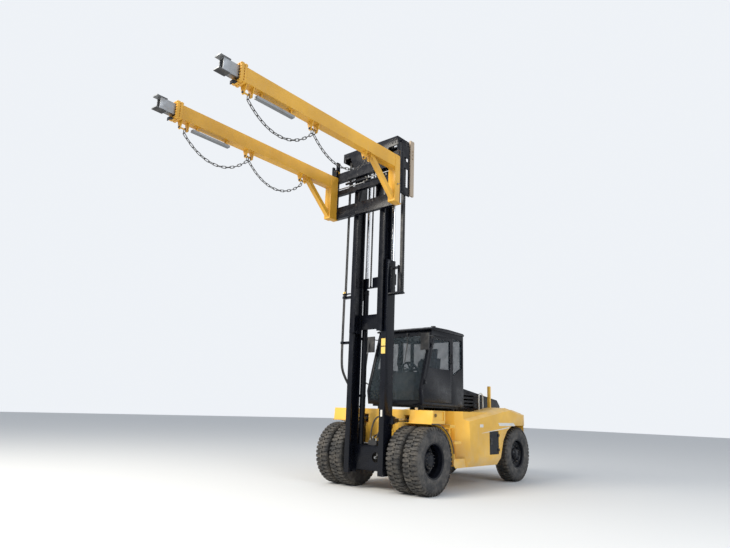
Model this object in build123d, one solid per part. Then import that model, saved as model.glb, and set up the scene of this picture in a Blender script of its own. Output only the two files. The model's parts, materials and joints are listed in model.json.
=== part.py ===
"""Heavy counterbalance forklift truck with a two-stage mast and twin telescopic lifting arms.

Millimetres. +X is forward, +Y is the driver's left and +Z is up. Every sub-part is drawn with x = 0 over
the drive axle and z = 0 on the ground, and is moved at the end so that the origin lies under the middle
of the whole machine. The mast is drawn raised, as it is stored.
"""
import os
from math import asinh, atan2, cos, cosh, degrees, pi, radians, sin, sinh

from build123d import *

# Clearances
SEAT = 0.3            # between a piece and what it rests on
RUN = 0.3             # radial, at a shaft or pin
MOVE = 6.0            # between pieces that pass each other

# Tyres and rims
TYRE_D = 1212
TYRE_W = 315
TYRE_TREAD_W = 268
TYRE_BULGE_R = 450    # radius at which the sidewall is widest
WHEEL_FLATS = 28      # tyres and rims are drawn with flats, one of them on the ground
RIM_R = 305
RIM_W = 250
RIM_WALL = 16
RIM_DISC = 18
AXLE_Z = TYRE_D / 2
DUAL_SPACING = 374
DRIVE_OUTER_Y = 1088
DRIVE_INNER_Y = DRIVE_OUTER_Y - DUAL_SPACING
WHEELBASE = 3664
STEER_Y = 921
KINGPIN_Y = 660
HUB_R = 175
SPINDLE_R = 85
STEER_SPINDLE_R = 48
KINGPIN_R = 32
STEER_HUB_R = 135
STEER_ARM = 130       # from the kingpin to the end of the steering arm

# Drive axle and mast pivot
AXLE_TUBE_R = 125
AXLE_TUBE_END_Y = 560
DIFF_R = 215
DIFF_W = 330
PIVOT_X = 250
PIVOT_Z = 520
PIVOT_PIN_R = 38
LUG_R = 60
LUG_PLATES = [(338, 366), (484, 512)]    # inner and outer face of each chassis lug, from the centre line
AXLE_LUG_R = 140

# Mast
OUTER_WEB_Y = 480
OUTER_RAIL_X = (320, 570)
OUTER_FLANGE = 35
OUTER_WEB = 30
OUTER_FLANGE_W = 120
HEAD_LOW_Z = 6750
HEAD_H = 200
HEAD_Z = (HEAD_LOW_Z, HEAD_LOW_Z + HEAD_H)
CARRIAGE_DROP = 1335       # the carriage's lower edge below the raised crosshead
CARRIAGE_LOW_Z = 115       # the same edge with the mast right down
LIFT_STROKE = (HEAD_LOW_Z - CARRIAGE_DROP - CARRIAGE_LOW_Z) / 2
HEAD_LAP = 300             # how far the lowered crosshead comes down round the outer mast
OUTER_Z = (300, HEAD_LOW_Z - LIFT_STROKE + HEAD_LAP)
INNER_FLANGE_Y = (290, 420)
INNER_REAR_FLANGE_Y = (290, 440)
INNER_WEB_Y = (324, 350)
INNER_RAIL_X = (400, 640)
INNER_FLANGE = 35
HEAD_X = (240, 690)
HEAD_Y = 750
HEAD_WALL = 25
HEAD_APRON_Y = 400    # half width of the deeper middle of the crosshead's front plate
HEAD_APRON_DROP = 275
INNER_Z = (2970, HEAD_Z[1] + 10)
FOOT_PLATE_X = (PIVOT_X + LUG_R + MOVE, PIVOT_X + LUG_R + MOVE + 20)
FOOT_PLATE_Z = (355, 815)
FOOT_HOLE_R = 95
FOOT_HOLE_Y = 120
FOOT_HOLE_Z = 600
OUTER_TIE_X = (282, OUTER_RAIL_X[0])
OUTER_TIE_Z = (OUTER_Z[1] - 480, OUTER_Z[1] - 260)
INNER_TIE_X = (366, INNER_RAIL_X[0])
INNER_TIE_W = 340
INNER_TIE_Z = (INNER_Z[0] + 80, INNER_Z[0] + 380)
GUSSET_W = 130
GUSSET_DROP = 250
GUSSET_X = (OUTER_RAIL_X[0] - 16, OUTER_RAIL_X[0])
PULLEY_R = 150
PULLEY_GROOVE = 18
PULLEY_W = 60
PULLEY_FLATS = 24
CHAIN_PULLEY_Y = 180
CHAIN_PULLEY_X = 440
CHAIN_PULLEY_Z = HEAD_Z[0] + 5
RIB_T = 16
CHAIN_W = 36
CHAIN_T = 16
HOSE_PULLEY_Y = -610
HOSE_PULLEY_R = 60
LIFT_X = 240
LIFT_Y = 345
LIFT_BARREL_R = 60
LIFT_ROD_R = 38
LIFT_FOOT_Z = 760
LIFT_TOP_Z = OUTER_TIE_Z[0] - 15
LIFT_FLATS = 16
LIFT_ROD_FOOT_Z = LIFT_FOOT_Z + 55 + LIFT_STROKE
TIE_NOTCH_Z = CHAIN_PULLEY_Z - PULLEY_R - LIFT_STROKE - 10
TIE_NOTCH_Y = (CHAIN_PULLEY_Y - PULLEY_W / 2 - 32, CHAIN_PULLEY_Y + PULLEY_W / 2 + 32)

# Tilt cylinders
TILT_Y = 545
TILT_MAST = (290, 1300)
TILT_CHASSIS = (-880, 1320)
TILT_BARREL_R = 58
TILT_ROD_R = 30
TILT_PIN_R = 20
TILT_EYE_R = 46
TILT_EYE_HOLE_R = 34
TILT_BARREL_LENGTH = 760
TILT_EYE_W = 50
TILT_LUG = 18

# Carriage
CARRIAGE_Z = HEAD_Z[0] - CARRIAGE_DROP      # its lower edge
CARRIAGE_Y = 860
CARRIAGE_X = (705, 800)
BEAMS = [(CARRIAGE_Z, CARRIAGE_Z + 255), (CARRIAGE_Z + 540, CARRIAGE_Z + 642), (CARRIAGE_Z + 845, CARRIAGE_Z + 1045)]
END_PLATE = 30
END_PLATE_Z = (CARRIAGE_Z, HEAD_Z[0])
ROLLER_PLATE_Y = (228, 258)
ROLLER_PLATE_X = (448, CARRIAGE_X[0] + 12)
ROLLER_PLATE_Z = (CARRIAGE_Z + 130, CARRIAGE_Z + 1020)
ROLLER_R = 78
ROLLER_X = 523
ROLLERS_Z = [CARRIAGE_Z + 215, CARRIAGE_Z + 835]
ANCHOR_Z = CARRIAGE_Z + 825
ANCHOR_H = 90
POSITIONER_UPPER_Z = CARRIAGE_Z + 765    # its rod moves the left arm
POSITIONER_LOWER_Z = CARRIAGE_Z + 690    # its rod moves the right arm
POSITIONER_X = 760
POSITIONER_R = 24
POSITIONER_ROD_R = 13
POSITIONER_TAIL_Y = 580
POSITIONER_MOUTH_Y = 40
POSITIONER_FOOT_Y = (60, 430)
SIDE_BRACKET_Z = CARRIAGE_Z + 1085

# Arms
ARM_Y = 870
ARM_POST_X = (862, 1000)
ARM_POST_W = 170
ARM_POST_Z = CARRIAGE_Z - 20
ARM_TOP_Z = CARRIAGE_Z + 945
ARM_HOOK_Z = BEAMS[2][1] + 50
BEAM_W = 160
BEAM_H = 250
BEAM_WALL = 12
BEAM_END_X = 4640
COLLAR_X = (4610, 4715)
COLLAR_OVER = 28
COLLAR_GROOVE = (38, 56)
COLLAR_STAY = (75, 55)             # length and depth of the stay under the collar
TUBE_BORE_START_X = 2500
TUBE_W = 116
TUBE_H = 200
TUBE_WALL = 12
TUBE_END_X = 4990
TUBE_TAIL_X = 3320
TUBE_TAIL_PAD = 90
TIP_PAD = (4875, 5065)
TIP_PAD_T = 16
TIP_PAD_OVER = 12
TUBE_STROKE_IN = 230
EARS_X = [4500, 3130, 1760]
EAR_GAP = 62
EAR_T = 16
EAR_TOP_W = 150
EAR_TIP_R = 32
EAR_PIN_Z = ARM_TOP_Z - 375
EAR_PIN_R = 14
BRACE_FOOT = (ARM_POST_X[1], ARM_POST_Z + 100)
BRACE_TOP_X = ARM_POST_X[1] + 660
BRACE_W = 90
BRACE_T = 75
CHAIN_SAG = 330
LINK_WIRE = 14
LINK_W = 52
LINK_PITCH = 92
LINK_PLAY = 1.3
SHACKLE_W = 68
SHACKLE_DROP = 96
SHACKLE_OFF = 24
HANGER_X = (3580, 4340)
HANGER_Z = (ARM_TOP_Z - 365, ARM_TOP_Z - 325)
HANGER_W = 80
HANGER_LUGS_X = (HANGER_X[0] + 70, HANGER_X[1] - 90)

# Energy chain on the left of the mast, hoses on its right
GUIDE_Y = (790, 812)
GUIDE_X = (345, 640)
GUIDE_Z = (HEAD_Z[0] - 1050, HEAD_Z[0])
GUIDE_WINDOW_X = (GUIDE_X[0] + 40, GUIDE_X[0] + 185)
GUIDE_WINDOWS_Z = [(HEAD_Z[0] - 875, HEAD_Z[0] - 473), (HEAD_Z[0] - 310, HEAD_Z[0] - 230)]
STRIP_X = (225, GUIDE_X[0] - SEAT)
UNIONS_Z = [HEAD_Z[0] - 190, HEAD_Z[0] - 110, HEAD_Z[0] - 30]
ENERGY_CHAIN_X = (430, 500)
ENERGY_CHAIN_Y = (722, 784)
TROUGH_Z = OUTER_Z[1] - 710
TROUGH_FLOOR = 30
ENERGY_CHAIN_Z = (TROUGH_Z + TROUGH_FLOOR + SEAT, HEAD_Z[0] - 60.3)
ENERGY_LINK_PITCH = 110
HOSE_Y = (-655, -620)
HOSE_X = 560
HOSE_R = 13
HOSE_FLATS = 8
HOSE_CLAMP_Z = OUTER_Z[1] - 700    # the upper clamp, below the lowered crosshead
HOSE_UPPER_Z = (HOSE_CLAMP_Z + 75, CHAIN_PULLEY_Z)
HOSE_LOWER_X = 594
HOSE_LOWER_Z = (HOSE_CLAMP_Z - 940, HOSE_CLAMP_Z + 150)

# Chassis
FRAME_Y = 380
FRAME_PLATE = 30
FRAME_Z = (790, 1450)
FRAME_FRONT_X = -100
FRONT_PLATE = 40
STEER_X = -WHEELBASE
ARCH_CLEAR = 33       # between the steer tyre's top and the bodywork over it
REAR_CLEAR_Z = TYRE_D + ARCH_CLEAR
REAR_DROP_X = STEER_X + 944
REAR_ARCH_X = STEER_X + 764
FRAME_REAR_X = STEER_X - 326
DECK_T = 25
DECK_Z = 1505         # top of the deck
DECK_Y = 700
ENGINE_X = (-2860, -2040)
ENGINE_Y = 300
ENGINE_Z = (900, 1760)
RAIL_POST_Z = DECK_Z + 605
GRAB_POST_Z = DECK_Z + 395

FENDER_Y = (630, 1246)
GUARD_R = TYRE_D / 2 + 42
FENDER_T = 12
FENDER_FRONT_X = 130
FENDER_BOX_Z = 1500
FENDER_BOX_REAR_X = -320
FENDER_BOX_LOW = [(0, 632), (105, 840), (105, 1244)]      # plan of the box's front at its foot
FENDER_BOX_TOP = [(0, 665), (85, 840), (85, 1244)]        # and at its top
FENDER_RECESS_X = (-290, 60)
FENDER_RECESS_Z = (FENDER_BOX_Z - 175, FENDER_BOX_Z - 12)
FENDER_RECESS_D = 22
FENDER_HOLE = (-17, 1415, 20)                             # x, z and radius
FENDER_TOWER_X = -300

SIDE_Y = (DECK_Y, 1150, 1250)    # inner face, upper wall, outer skin
SIDE_FRONT_X = -1020
SIDE_LEAN = 60
SIDE_CORNER = (1000, 165)        # where the slanted corner starts and how far back it ends
SIDE_BOTTOM_Z = 440
SIDE_BEVEL_Z = 590
SIDE_BEVEL = 70
WING_SLOPE = 0.145
WING_LOWER_Z = 1290   # lower edge of the sloping strip at the front face
WING_UPPER_Z = 1344
CROWN = (-2922, 1622)
CROWN_END = (-3610, 1515)
TAIL_TOP = (-4370, 1425)
ARCH_SHAPE = [(2.02, -0.274), (1.904, 0.056), (1.714, 0.554), (1.426, 0.865)]    # in tyre radii from the wheel's middle
ARCH_TOP = 1.03
TOW_JAW_Y = 70
TOW_JAW_Z = (880, 980)
TOW_DEPTH = 160
TOW_PIN_R = 22
TAIL_CORNERS = [(STEER_X + 214, 1250), (STEER_X - 76, 1205), (STEER_X - 496, 1000), (STEER_X - 706, 900)]
COUNTER_CORNERS = [(STEER_X - 706, 900), (STEER_X - 836, 820), (STEER_X - 1036, 640)]
REAR_X = COUNTER_CORNERS[-1][0]
TOW_PIN_X = REAR_X + 90
BOX_DOOR_X = (-2410, -2010)
BOX_DOOR_Z = (655, 1130)
BOX_DEPTH = 260
BOX_DOOR_T = 14
BOX_HINGE_Z = (740, 1045)
BOX_PIN_R = 4

COUNTER_TOP_Z = 1600
COUNTER_SHOULDER = (550, 900, 1430)    # where the crown's edge falls away, its outer end and height there
COUNTER_LOW_Z = 640
COUNTER_INNER_X = REAR_X + 250

STEPS = [(-560, -735, 1245, 900), (-715, -962, 940, 950)]    # front, rear, height and inner end of a tread
STEP_T = 52
STEP_OUTER_Y = 1205
STEP_CARRIER_Y = (900, 916)
KICK_X = (-1160, -735)
KICK_Z = (440, 610)
KICK_Y = 1165
KICK_T = 12

# Cab
CAB_Y = 700
CAB_REAR_X = -1890
CAB_FLOOR_Z = 1600
CAB_FLOOR_T = 40
CAB_NOSE = (-300, 1870)
CAB_TOE_X = -350
CAB_BROW = (-665, 3130)
CAB_ROOF_Z = 3205
ROOF_OVER = 18
CAB_POST = 60
CAB_INSIDE_Z = CAB_FLOOR_Z + CAB_POST
FRONT_SILL = 90
FRONT_HEADER = 110
REAR_WINDOW_Z = (2150, 3020)
QUARTER_LOW_Z = (2420, 2240)     # lower edge of the quarter light at its rear and its front
DOOR_REAR_X = -1415
DOOR_SILL_Z = 1660
DOOR_HEAD_Z = 3030
DOOR_T = 45
DOOR_GLASS_Z = (2349, 2961)
DOOR_STILE = 90
GLASS_T = 8
GRIP_Z = (2480, 2680)
DOOR_HINGE_Z = (2050, 2800)
DOOR_HINGE_LENGTH = 110
DOOR_PIN_R = 7
DOOR_PIN_OUT = 15
POST_SLOPE = (CAB_NOSE[0] - CAB_BROW[0]) / (CAB_BROW[1] - CAB_NOSE[1])
MIRROR_X = CAB_NOSE[0] - 100
MIRROR_Y = (CAB_Y - 85, CAB_Y + 112)
MIRROR_Z = (CAB_BROW[1] - 440, CAB_BROW[1] - 100)
BEACON_X = CAB_REAR_X + 140
BEACON_R = 55
BEACON_H = 190
SEAT_X = -1600
SEAT_W = 520
SEAT_Z = (1850, 2000)
SEAT_BACK_Z = 2640
SEAT_HEAD_Z = 2860
WHEEL_AT = (-890, 0, 2338)
WHEEL_R = 200
WHEEL_RIM = 17
WHEEL_TILT = -53
DASH_Y = 420
DASH_X = (-430, -700)
DASH_Z = 2260

# Engine hood
HOOD_X = (STEER_X - 301, CAB_REAR_X - 40)
HOOD_Y = 470
HOOD_FRONT_Z = 2055
HOOD_REAR_Z = 1810
HOOD_T = 20
HOOD_HINGE = (HOOD_X[0] - 20, COUNTER_TOP_Z + 40)
HOOD_PIN_R = 12
LOUVRE_X = (-2700, -2200)
LOUVRE_Z = (1600, 1680, 1760, 1840)
LOUVRE_H = 34

# Overall length, whose middle is the origin
NOSE_X = TIP_PAD[1]
MIDDLE_X = (NOSE_X + REAR_X) / 2


def block(x, y, z):
    """A box between two values on each axis."""
    size = (abs(x[1] - x[0]), abs(y[1] - y[0]), abs(z[1] - z[0]))
    centre = ((x[0] + x[1]) / 2, (y[0] + y[1]) / 2, (z[0] + z[1]) / 2)
    return Pos(*centre) * Box(*size)


def prism_y(points, y):
    """An (x, z) outline carried from y[0] to y[1]."""
    face = make_face(Polyline(*[(px, y[0], pz) for px, pz in points], close=True))
    return extrude(face, amount=y[1] - y[0], dir=(0, 1, 0))


def prism_x(points, x):
    """A (y, z) outline carried from x[0] to x[1]."""
    face = make_face(Polyline(*[(x[0], py, pz) for py, pz in points], close=True))
    return extrude(face, amount=x[1] - x[0], dir=(1, 0, 0))


def prism_z(points, z):
    """An (x, y) outline carried from z[0] to z[1]."""
    face = make_face(Polyline(*[(px, py, z[0]) for px, py in points], close=True))
    return extrude(face, amount=z[1] - z[0], dir=(0, 0, 1))


def bar(start, end, radius, flats=0):
    """A round bar between two points, or one with flats whose edges lie on the radius."""
    line = Vector(*end) - Vector(*start)
    plane = Plane(origin=Vector(*start), z_dir=line)
    section = RegularPolygon(radius, flats) if flats else Circle(radius)
    return extrude(plane * section, amount=line.length)


def disc_y(x, y, z, radius, flats=0):
    """A disc or short shaft along Y between two values of y."""
    return bar((x, y[0], z), (x, y[1], z), radius, flats)


def turned_y(points, x, z, flats):
    """A closed (y, radius) outline turned about a line along Y with flats, one of them facing down.

    Radii run to the middle of a flat, so that rings with the same number of flats nest.
    """
    rings = []
    for y, radius in points:
        corner = radius / cos(pi / flats)
        angles = [2 * pi * (number + 0.5) / flats for number in range(flats)]
        rings.append([(x + corner * sin(angle), y, z - corner * cos(angle)) for angle in angles])
    faces = []
    for first, second in zip(rings, rings[1:] + rings[:1]):
        for number in range(flats):
            after = (number + 1) % flats
            corners = [first[number], first[after], second[after], second[number]]
            faces.append(Face(Wire.make_polygon(corners, close=True)))
    return Part() + Solid(Shell(faces))


def mirrored(shape):
    """The same piece on the other side of the machine."""
    return mirror(shape, about=Plane.XZ)


def pair(shape):
    """A piece and its mirror image."""
    return shape + mirrored(shape)


def fused(shapes):
    """All the shapes as one."""
    shapes = list(shapes)
    result = shapes[0]
    for shape in shapes[1:]:
        result = result + shape
    return result


# Wheels


def tyre(x, y):
    half = TYRE_W / 2
    tread = TYRE_TREAD_W / 2
    bead = RIM_R + SEAT
    outline = [
        (y - RIM_W / 2, bead),
        (y - half, TYRE_BULGE_R),
        (y - tread, TYRE_D / 2),
        (y + tread, TYRE_D / 2),
        (y + half, TYRE_BULGE_R),
        (y + RIM_W / 2, bead),
    ]
    return turned_y(outline, x, AXLE_Z, WHEEL_FLATS)


def drive_tyres():
    return tyre(0, DRIVE_INNER_Y) + tyre(0, DRIVE_OUTER_Y)


def drive_rims():
    """Two dished rims on one planetary hub, as one turned piece."""
    middle = (DRIVE_INNER_Y + DRIVE_OUTER_Y) / 2
    joint = DUAL_SPACING / 2 - RIM_W / 2
    wall = RIM_R - RIM_WALL
    bore = SPINDLE_R + RUN
    inner = DRIVE_INNER_Y - RIM_W / 2
    outer = DRIVE_OUTER_Y + RIM_W / 2
    start = AXLE_TUBE_END_Y + MOVE
    outline = [
        (inner, RIM_R),
        (middle - joint, RIM_R),
        (middle - joint, RIM_R - RIM_WALL / 2),
        (middle + joint, RIM_R - RIM_WALL / 2),
        (middle + joint, RIM_R),
        (outer, RIM_R),
        (outer, wall),
        (middle + joint + RIM_DISC, wall),
        (middle + joint + RIM_DISC, HUB_R + 25),
        (DRIVE_OUTER_Y + 30, HUB_R - 10),
        (DRIVE_OUTER_Y + 60, HUB_R - 70),
        (DRIVE_OUTER_Y + 60, bore),
        (start, bore),
        (start, HUB_R),
        (middle - joint - RIM_DISC, HUB_R + 60),
        (middle - joint - RIM_DISC, wall),
        (inner, wall),
    ]
    return turned_y(outline, 0, AXLE_Z, WHEEL_FLATS)


def steer_tyre():
    return tyre(STEER_X, STEER_Y)


def steer_rim():
    """A single rim with its disc near the outer face and a hub that shows."""
    disc = STEER_Y + 40
    wall = RIM_R - RIM_WALL
    bore = STEER_SPINDLE_R + RUN
    outline = [
        (STEER_Y - RIM_W / 2, RIM_R),
        (STEER_Y + RIM_W / 2, RIM_R),
        (STEER_Y + RIM_W / 2, wall),
        (disc, wall),
        (disc, STEER_HUB_R),
        (disc + 60, STEER_HUB_R - 30),
        (disc + 78, STEER_HUB_R - 55),
        (disc + 78, bore),
        (STEER_Y - 95, bore),
        (STEER_Y - 95, STEER_HUB_R - 25),
        (disc - RIM_DISC, STEER_HUB_R),
        (disc - RIM_DISC, wall),
        (STEER_Y - RIM_W / 2, wall),
    ]
    return turned_y(outline, STEER_X, AXLE_Z, WHEEL_FLATS)


# Axles


def pivot_lug(y):
    """A plate on the axle housing that carries one end of a mast pin."""
    housing = disc_y(0, y, AXLE_Z, AXLE_LUG_R, 12)
    nose = disc_y(PIVOT_X, y, PIVOT_Z, LUG_R, 12)
    reach = (PIVOT_X**2 + (AXLE_Z - PIVOT_Z) ** 2) ** 0.5
    along = atan2(PIVOT_Z - AXLE_Z, PIVOT_X)
    web = [(0, AXLE_LUG_R - 10), (reach, LUG_R - 5), (reach, 5 - LUG_R), (0, 10 - AXLE_LUG_R)]
    turned = [(px * cos(along) - pz * sin(along), AXLE_Z + px * sin(along) + pz * cos(along)) for px, pz in web]
    return housing + nose + prism_y(turned, y)


def differential():
    """The swollen middle of the axle housing."""
    ends = AXLE_TUBE_R - 20
    halves = []
    for hand in (-1, 1):
        wide = Plane(origin=(0, 0, AXLE_Z), z_dir=(0, hand, 0)) * RegularPolygon(DIFF_R, 12)
        narrow = Plane(origin=(0, hand * DIFF_W, AXLE_Z), z_dir=(0, hand, 0)) * RegularPolygon(ends, 12)
        halves.append(loft([wide, narrow], ruled=True))
    return fused(halves)


def drive_axle():
    """The drive axle housing with its spindles, the saddles and the lugs of the mast pivot."""
    tube = disc_y(0, (-AXLE_TUBE_END_Y, AXLE_TUBE_END_Y), AXLE_Z, AXLE_TUBE_R, 12)
    left = disc_y(0, (AXLE_TUBE_END_Y - 20, DRIVE_OUTER_Y + 60), AXLE_Z, SPINDLE_R)
    for plate in LUG_PLATES:
        left = left + pivot_lug(plate)
    pin = disc_y(PIVOT_X, (LUG_PLATES[0][0] - 8, LUG_PLATES[1][1] + 8), PIVOT_Z, PIVOT_PIN_R)
    saddle = block((-140, 60), (FRAME_Y - FRAME_PLATE - 15, FRAME_Y + 15), (AXLE_Z + 60, FRAME_Z[0] - SEAT))
    return tube + differential() + pair(left + pin + saddle)


def steer_axle():
    """A box beam hung on a fore-and-aft pin, with a bored fork for each kingpin."""
    x = STEER_X
    end = KINGPIN_Y - 86
    fork = KINGPIN_Y + 58
    ears = [(AXLE_Z - 120, AXLE_Z - 85), (AXLE_Z + 85, AXLE_Z + 120)]
    outline = [(-end, AXLE_Z - 85), (0, AXLE_Z - 120), (end, AXLE_Z - 85), (end, AXLE_Z + 85)]
    outline = outline + [(0, AXLE_Z + 120), (-end, AXLE_Z + 85)]
    beam = prism_x(outline, (x - 95, x + 95))
    side = block((x - 60, x + 60), (end - 70, end), (ears[0][0], ears[1][1]))
    for z in ears:
        side = side + block((x - 60, x + 60), (end - 5, fork), z)
    side = side - bar((x, KINGPIN_Y, ears[0][0] - 5), (x, KINGPIN_Y, ears[1][1] + 5), KINGPIN_R + RUN)
    pin = bar((x - 265, 0, AXLE_Z), (x + 265, 0, AXLE_Z), 55, 12)
    ram_z = AXLE_Z + 170
    ram = bar((x + STEER_ARM, -240, ram_z), (x + STEER_ARM, 240, ram_z), 44, 12)
    ram = ram + bar((x + STEER_ARM, -470, ram_z), (x + STEER_ARM, 470, ram_z), 20, 8)
    brackets = pair(block((x + 60, x + STEER_ARM + 20), (180, 210), (AXLE_Z + 80, ram_z)))
    return beam + pair(side) + pin + ram + brackets


def knuckle():
    """The block that turns with its kingpin in the fork, with the spindle and the steering arm."""
    x = STEER_X
    height = (AXLE_Z - 85 + SEAT, AXLE_Z + 85 - SEAT)
    body = block((x - 55, x + 55), (KINGPIN_Y - 50, KINGPIN_Y + 60), height)
    body = body + disc_y(x, (KINGPIN_Y + 55, STEER_Y + 110), AXLE_Z, STEER_SPINDLE_R)
    body = body + bar((x, KINGPIN_Y, AXLE_Z - 130), (x, KINGPIN_Y, AXLE_Z + 150), KINGPIN_R)
    arm = block((x - 42, x + STEER_ARM), (KINGPIN_Y - 42, KINGPIN_Y + 42), (AXLE_Z + 125, AXLE_Z + 152))
    trim = block((x + 50, x + STEER_ARM + 1), (KINGPIN_Y - 43, KINGPIN_Y - 22), (AXLE_Z + 120, AXLE_Z + 160))
    return body + arm - trim


# Chassis


def chassis_frame():
    """Two deep side plates that rise over the steer axle, with the deck and the front plate."""
    outline = [
        (FRAME_FRONT_X, FRAME_Z[0]),
        (REAR_DROP_X, FRAME_Z[0]),
        (REAR_ARCH_X, REAR_CLEAR_Z),
        (FRAME_REAR_X, REAR_CLEAR_Z),
        (FRAME_REAR_X, DECK_Z - DECK_T),
        (FRAME_FRONT_X, DECK_Z - DECK_T),
    ]
    plates = pair(prism_y(outline, (FRAME_Y - FRAME_PLATE, FRAME_Y)))
    deck = block((FRAME_REAR_X, FRAME_FRONT_X), (-DECK_Y + SEAT, DECK_Y - SEAT), (DECK_Z - DECK_T, DECK_Z))
    box_y = (FENDER_BOX_LOW[0][1] - SEAT, DECK_Y)
    deck = deck - pair(block((FENDER_BOX_REAR_X - SEAT, FRAME_FRONT_X + 5), box_y, (DECK_Z - DECK_T - 5, DECK_Z + 5)))
    well = block((HOOD_X[0] + 90, HOOD_X[1] - 90), (-HOOD_Y + 110, HOOD_Y - 110), (DECK_Z - 60, DECK_Z + 5))
    cross = fused(
        block((cx - 60, cx + 60), (-FRAME_Y + 5, FRAME_Y - 5), (FRAME_Z[0], ENGINE_Z[0] - SEAT))
        for cx in (-1150, ENGINE_X[1] - 120, ENGINE_X[0] + 140)
    )
    tail = block((FRAME_REAR_X, STEER_X + 380), (-FRAME_Y + 5, FRAME_Y - 5), (REAR_CLEAR_Z, REAR_CLEAR_Z + 60))
    hangers = Part()
    for ends in ((STEER_X - 255, STEER_X - 215), (STEER_X + 215, STEER_X + 255)):
        hanger = prism_x([(-75, AXLE_Z - 60), (75, AXLE_Z - 60), (140, REAR_CLEAR_Z + 5), (-140, REAR_CLEAR_Z + 5)], ends)
        hangers = hangers + hanger
    hangers = hangers - bar((STEER_X - 400, 0, AXLE_Z), (STEER_X + 400, 0, AXLE_Z), 55 + RUN, 12)
    return plates + (deck - well) + cross + tail + hangers + front_plate() + pair(tilt_anchor()) + deck_rails()


def front_plate():
    """The yellow plate behind the mast, open for the hoses and for the tilt cylinders."""
    x = (FRAME_FRONT_X - FRONT_PLATE, FRAME_FRONT_X)
    low = 830
    wide = AXLE_TUBE_END_Y - 30
    upper = AXLE_Z + GUARD_R
    side = FENDER_Y[0] - SEAT
    plate = block(x, (-wide, wide), (low, upper)) + block(x, (-side, side), (upper - 20, DECK_Z))
    hole = bar((x[0] - 5, 60, 1190), (x[1] + 5, 60, 1190), 120, 16)
    hook = bar((x[0] - 5, 150, 1330), (x[1] + 5, 150, 1330), 55, 12)
    slots = pair(block((x[0] - 5, x[1] + 5), (TILT_Y - 85, TILT_Y + 85), (TILT_CHASSIS[1] - 95, TILT_CHASSIS[1] + 80)))
    return plate - hole - hook - slots


def tilt_anchor():
    """The clevis on the frame that holds the tail of a tilt cylinder."""
    x, z = TILT_CHASSIS
    inner = TILT_Y - TILT_EYE_W / 2 - SEAT
    outer = TILT_Y + TILT_EYE_W / 2 + SEAT
    shelf = block((x - 130, x - 70), (FRAME_Y - 5, outer + TILT_LUG), (z - 70, z + 70))
    ears = block((x - 75, x), (inner - TILT_LUG, inner), (z - 45, z + 45))
    ears = ears + block((x - 75, x), (outer, outer + TILT_LUG), (z - 45, z + 45))
    rounds = disc_y(x, (inner - TILT_LUG, inner), z, 45, 12) + disc_y(x, (outer, outer + TILT_LUG), z, 45, 12)
    pin = disc_y(x, (inner - TILT_LUG - 5, outer + TILT_LUG + 5), z, TILT_PIN_R)
    return shelf + ears + rounds + pin


def counterweight():
    """The cast tail with a falling shoulder on each side, hollowed under for the swing of the steer wheels."""
    front = FRAME_REAR_X - SEAT
    side = [
        (front, REAR_CLEAR_Z),
        (front, COUNTER_TOP_Z),
        (REAR_X + 260, COUNTER_TOP_Z),
        (REAR_X + 60, COUNTER_TOP_Z - 110),
        (REAR_X, COUNTER_TOP_Z - 230),
        (REAR_X, COUNTER_LOW_Z + 90),
        (REAR_X + 60, COUNTER_LOW_Z),
        (COUNTER_INNER_X, COUNTER_LOW_Z),
        (COUNTER_INNER_X, REAR_CLEAR_Z),
    ]
    half = COUNTER_CORNERS[0][1]
    crown_y, _, shoulder_z = COUNTER_SHOULDER
    over = COUNTER_TOP_Z + 50
    body = prism_y(side, (-half, half))
    fall = [(crown_y, COUNTER_TOP_Z), (half + 1, shoulder_z), (half + 1, over), (crown_y, over)]
    shoulder = prism_x(fall, (REAR_X - 50, front + 50))
    outline = COUNTER_CORNERS + [(REAR_X - 50, COUNTER_CORNERS[-1][1]), (REAR_X - 50, half + 100)]
    corner = prism_z(outline + [(COUNTER_CORNERS[0][0], half + 100)], (COUNTER_LOW_Z - 50, over))
    body = body - pair(corner) - pair(shoulder)
    return body - tow_jaw() + tow_pin() + hood_hinge_feet()


def tow_jaw():
    """The slot in the tail that takes a tow bar's eye, with the hole for its pin."""
    slot = block((REAR_X - 5, REAR_X + TOW_DEPTH), (-TOW_JAW_Y, TOW_JAW_Y), TOW_JAW_Z)
    return slot + bar((TOW_PIN_X, 0, TOW_JAW_Z[0] - 70), (TOW_PIN_X, 0, COUNTER_TOP_Z), TOW_PIN_R + RUN)


def tow_pin():
    """The pin that drops through the jaw and stands up out of the tail's slope."""
    return bar((TOW_PIN_X, 0, TOW_JAW_Z[0] - 60), (TOW_PIN_X, 0, COUNTER_TOP_Z - 40), TOW_PIN_R)


def hood_hinge_feet():
    """Two forks on the crown with the pins that the hood turns about."""
    x, z = HOOD_HINGE
    hinge = Part()
    for y in (-300, 300):
        for side_y in ((y - 75, y - 45), (y + 45, y + 75)):
            hinge = hinge + block((x - 60, x), side_y, (COUNTER_TOP_Z - 5, z + 18))
            hinge = hinge + disc_y(x, side_y, z, 18, 12)
        hinge = hinge + disc_y(x, (y - 75, y + 75), z, HOOD_PIN_R)
    return hinge


def lean_x(z):
    """Where the leaning front face of a flank stands at a height."""
    return SIDE_FRONT_X - SIDE_LEAN * (DECK_Z - z) / (DECK_Z - SIDE_BEVEL_Z)


def arch_outline():
    """The front edge of the opening over the steered wheel, from the sill up."""
    radius = TYRE_D / 2
    points = [(STEER_X + dx * radius, AXLE_Z + dz * radius) for dx, dz in ARCH_SHAPE]
    return points + [(STEER_X + ARCH_TOP * radius, REAR_CLEAR_Z)]


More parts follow.
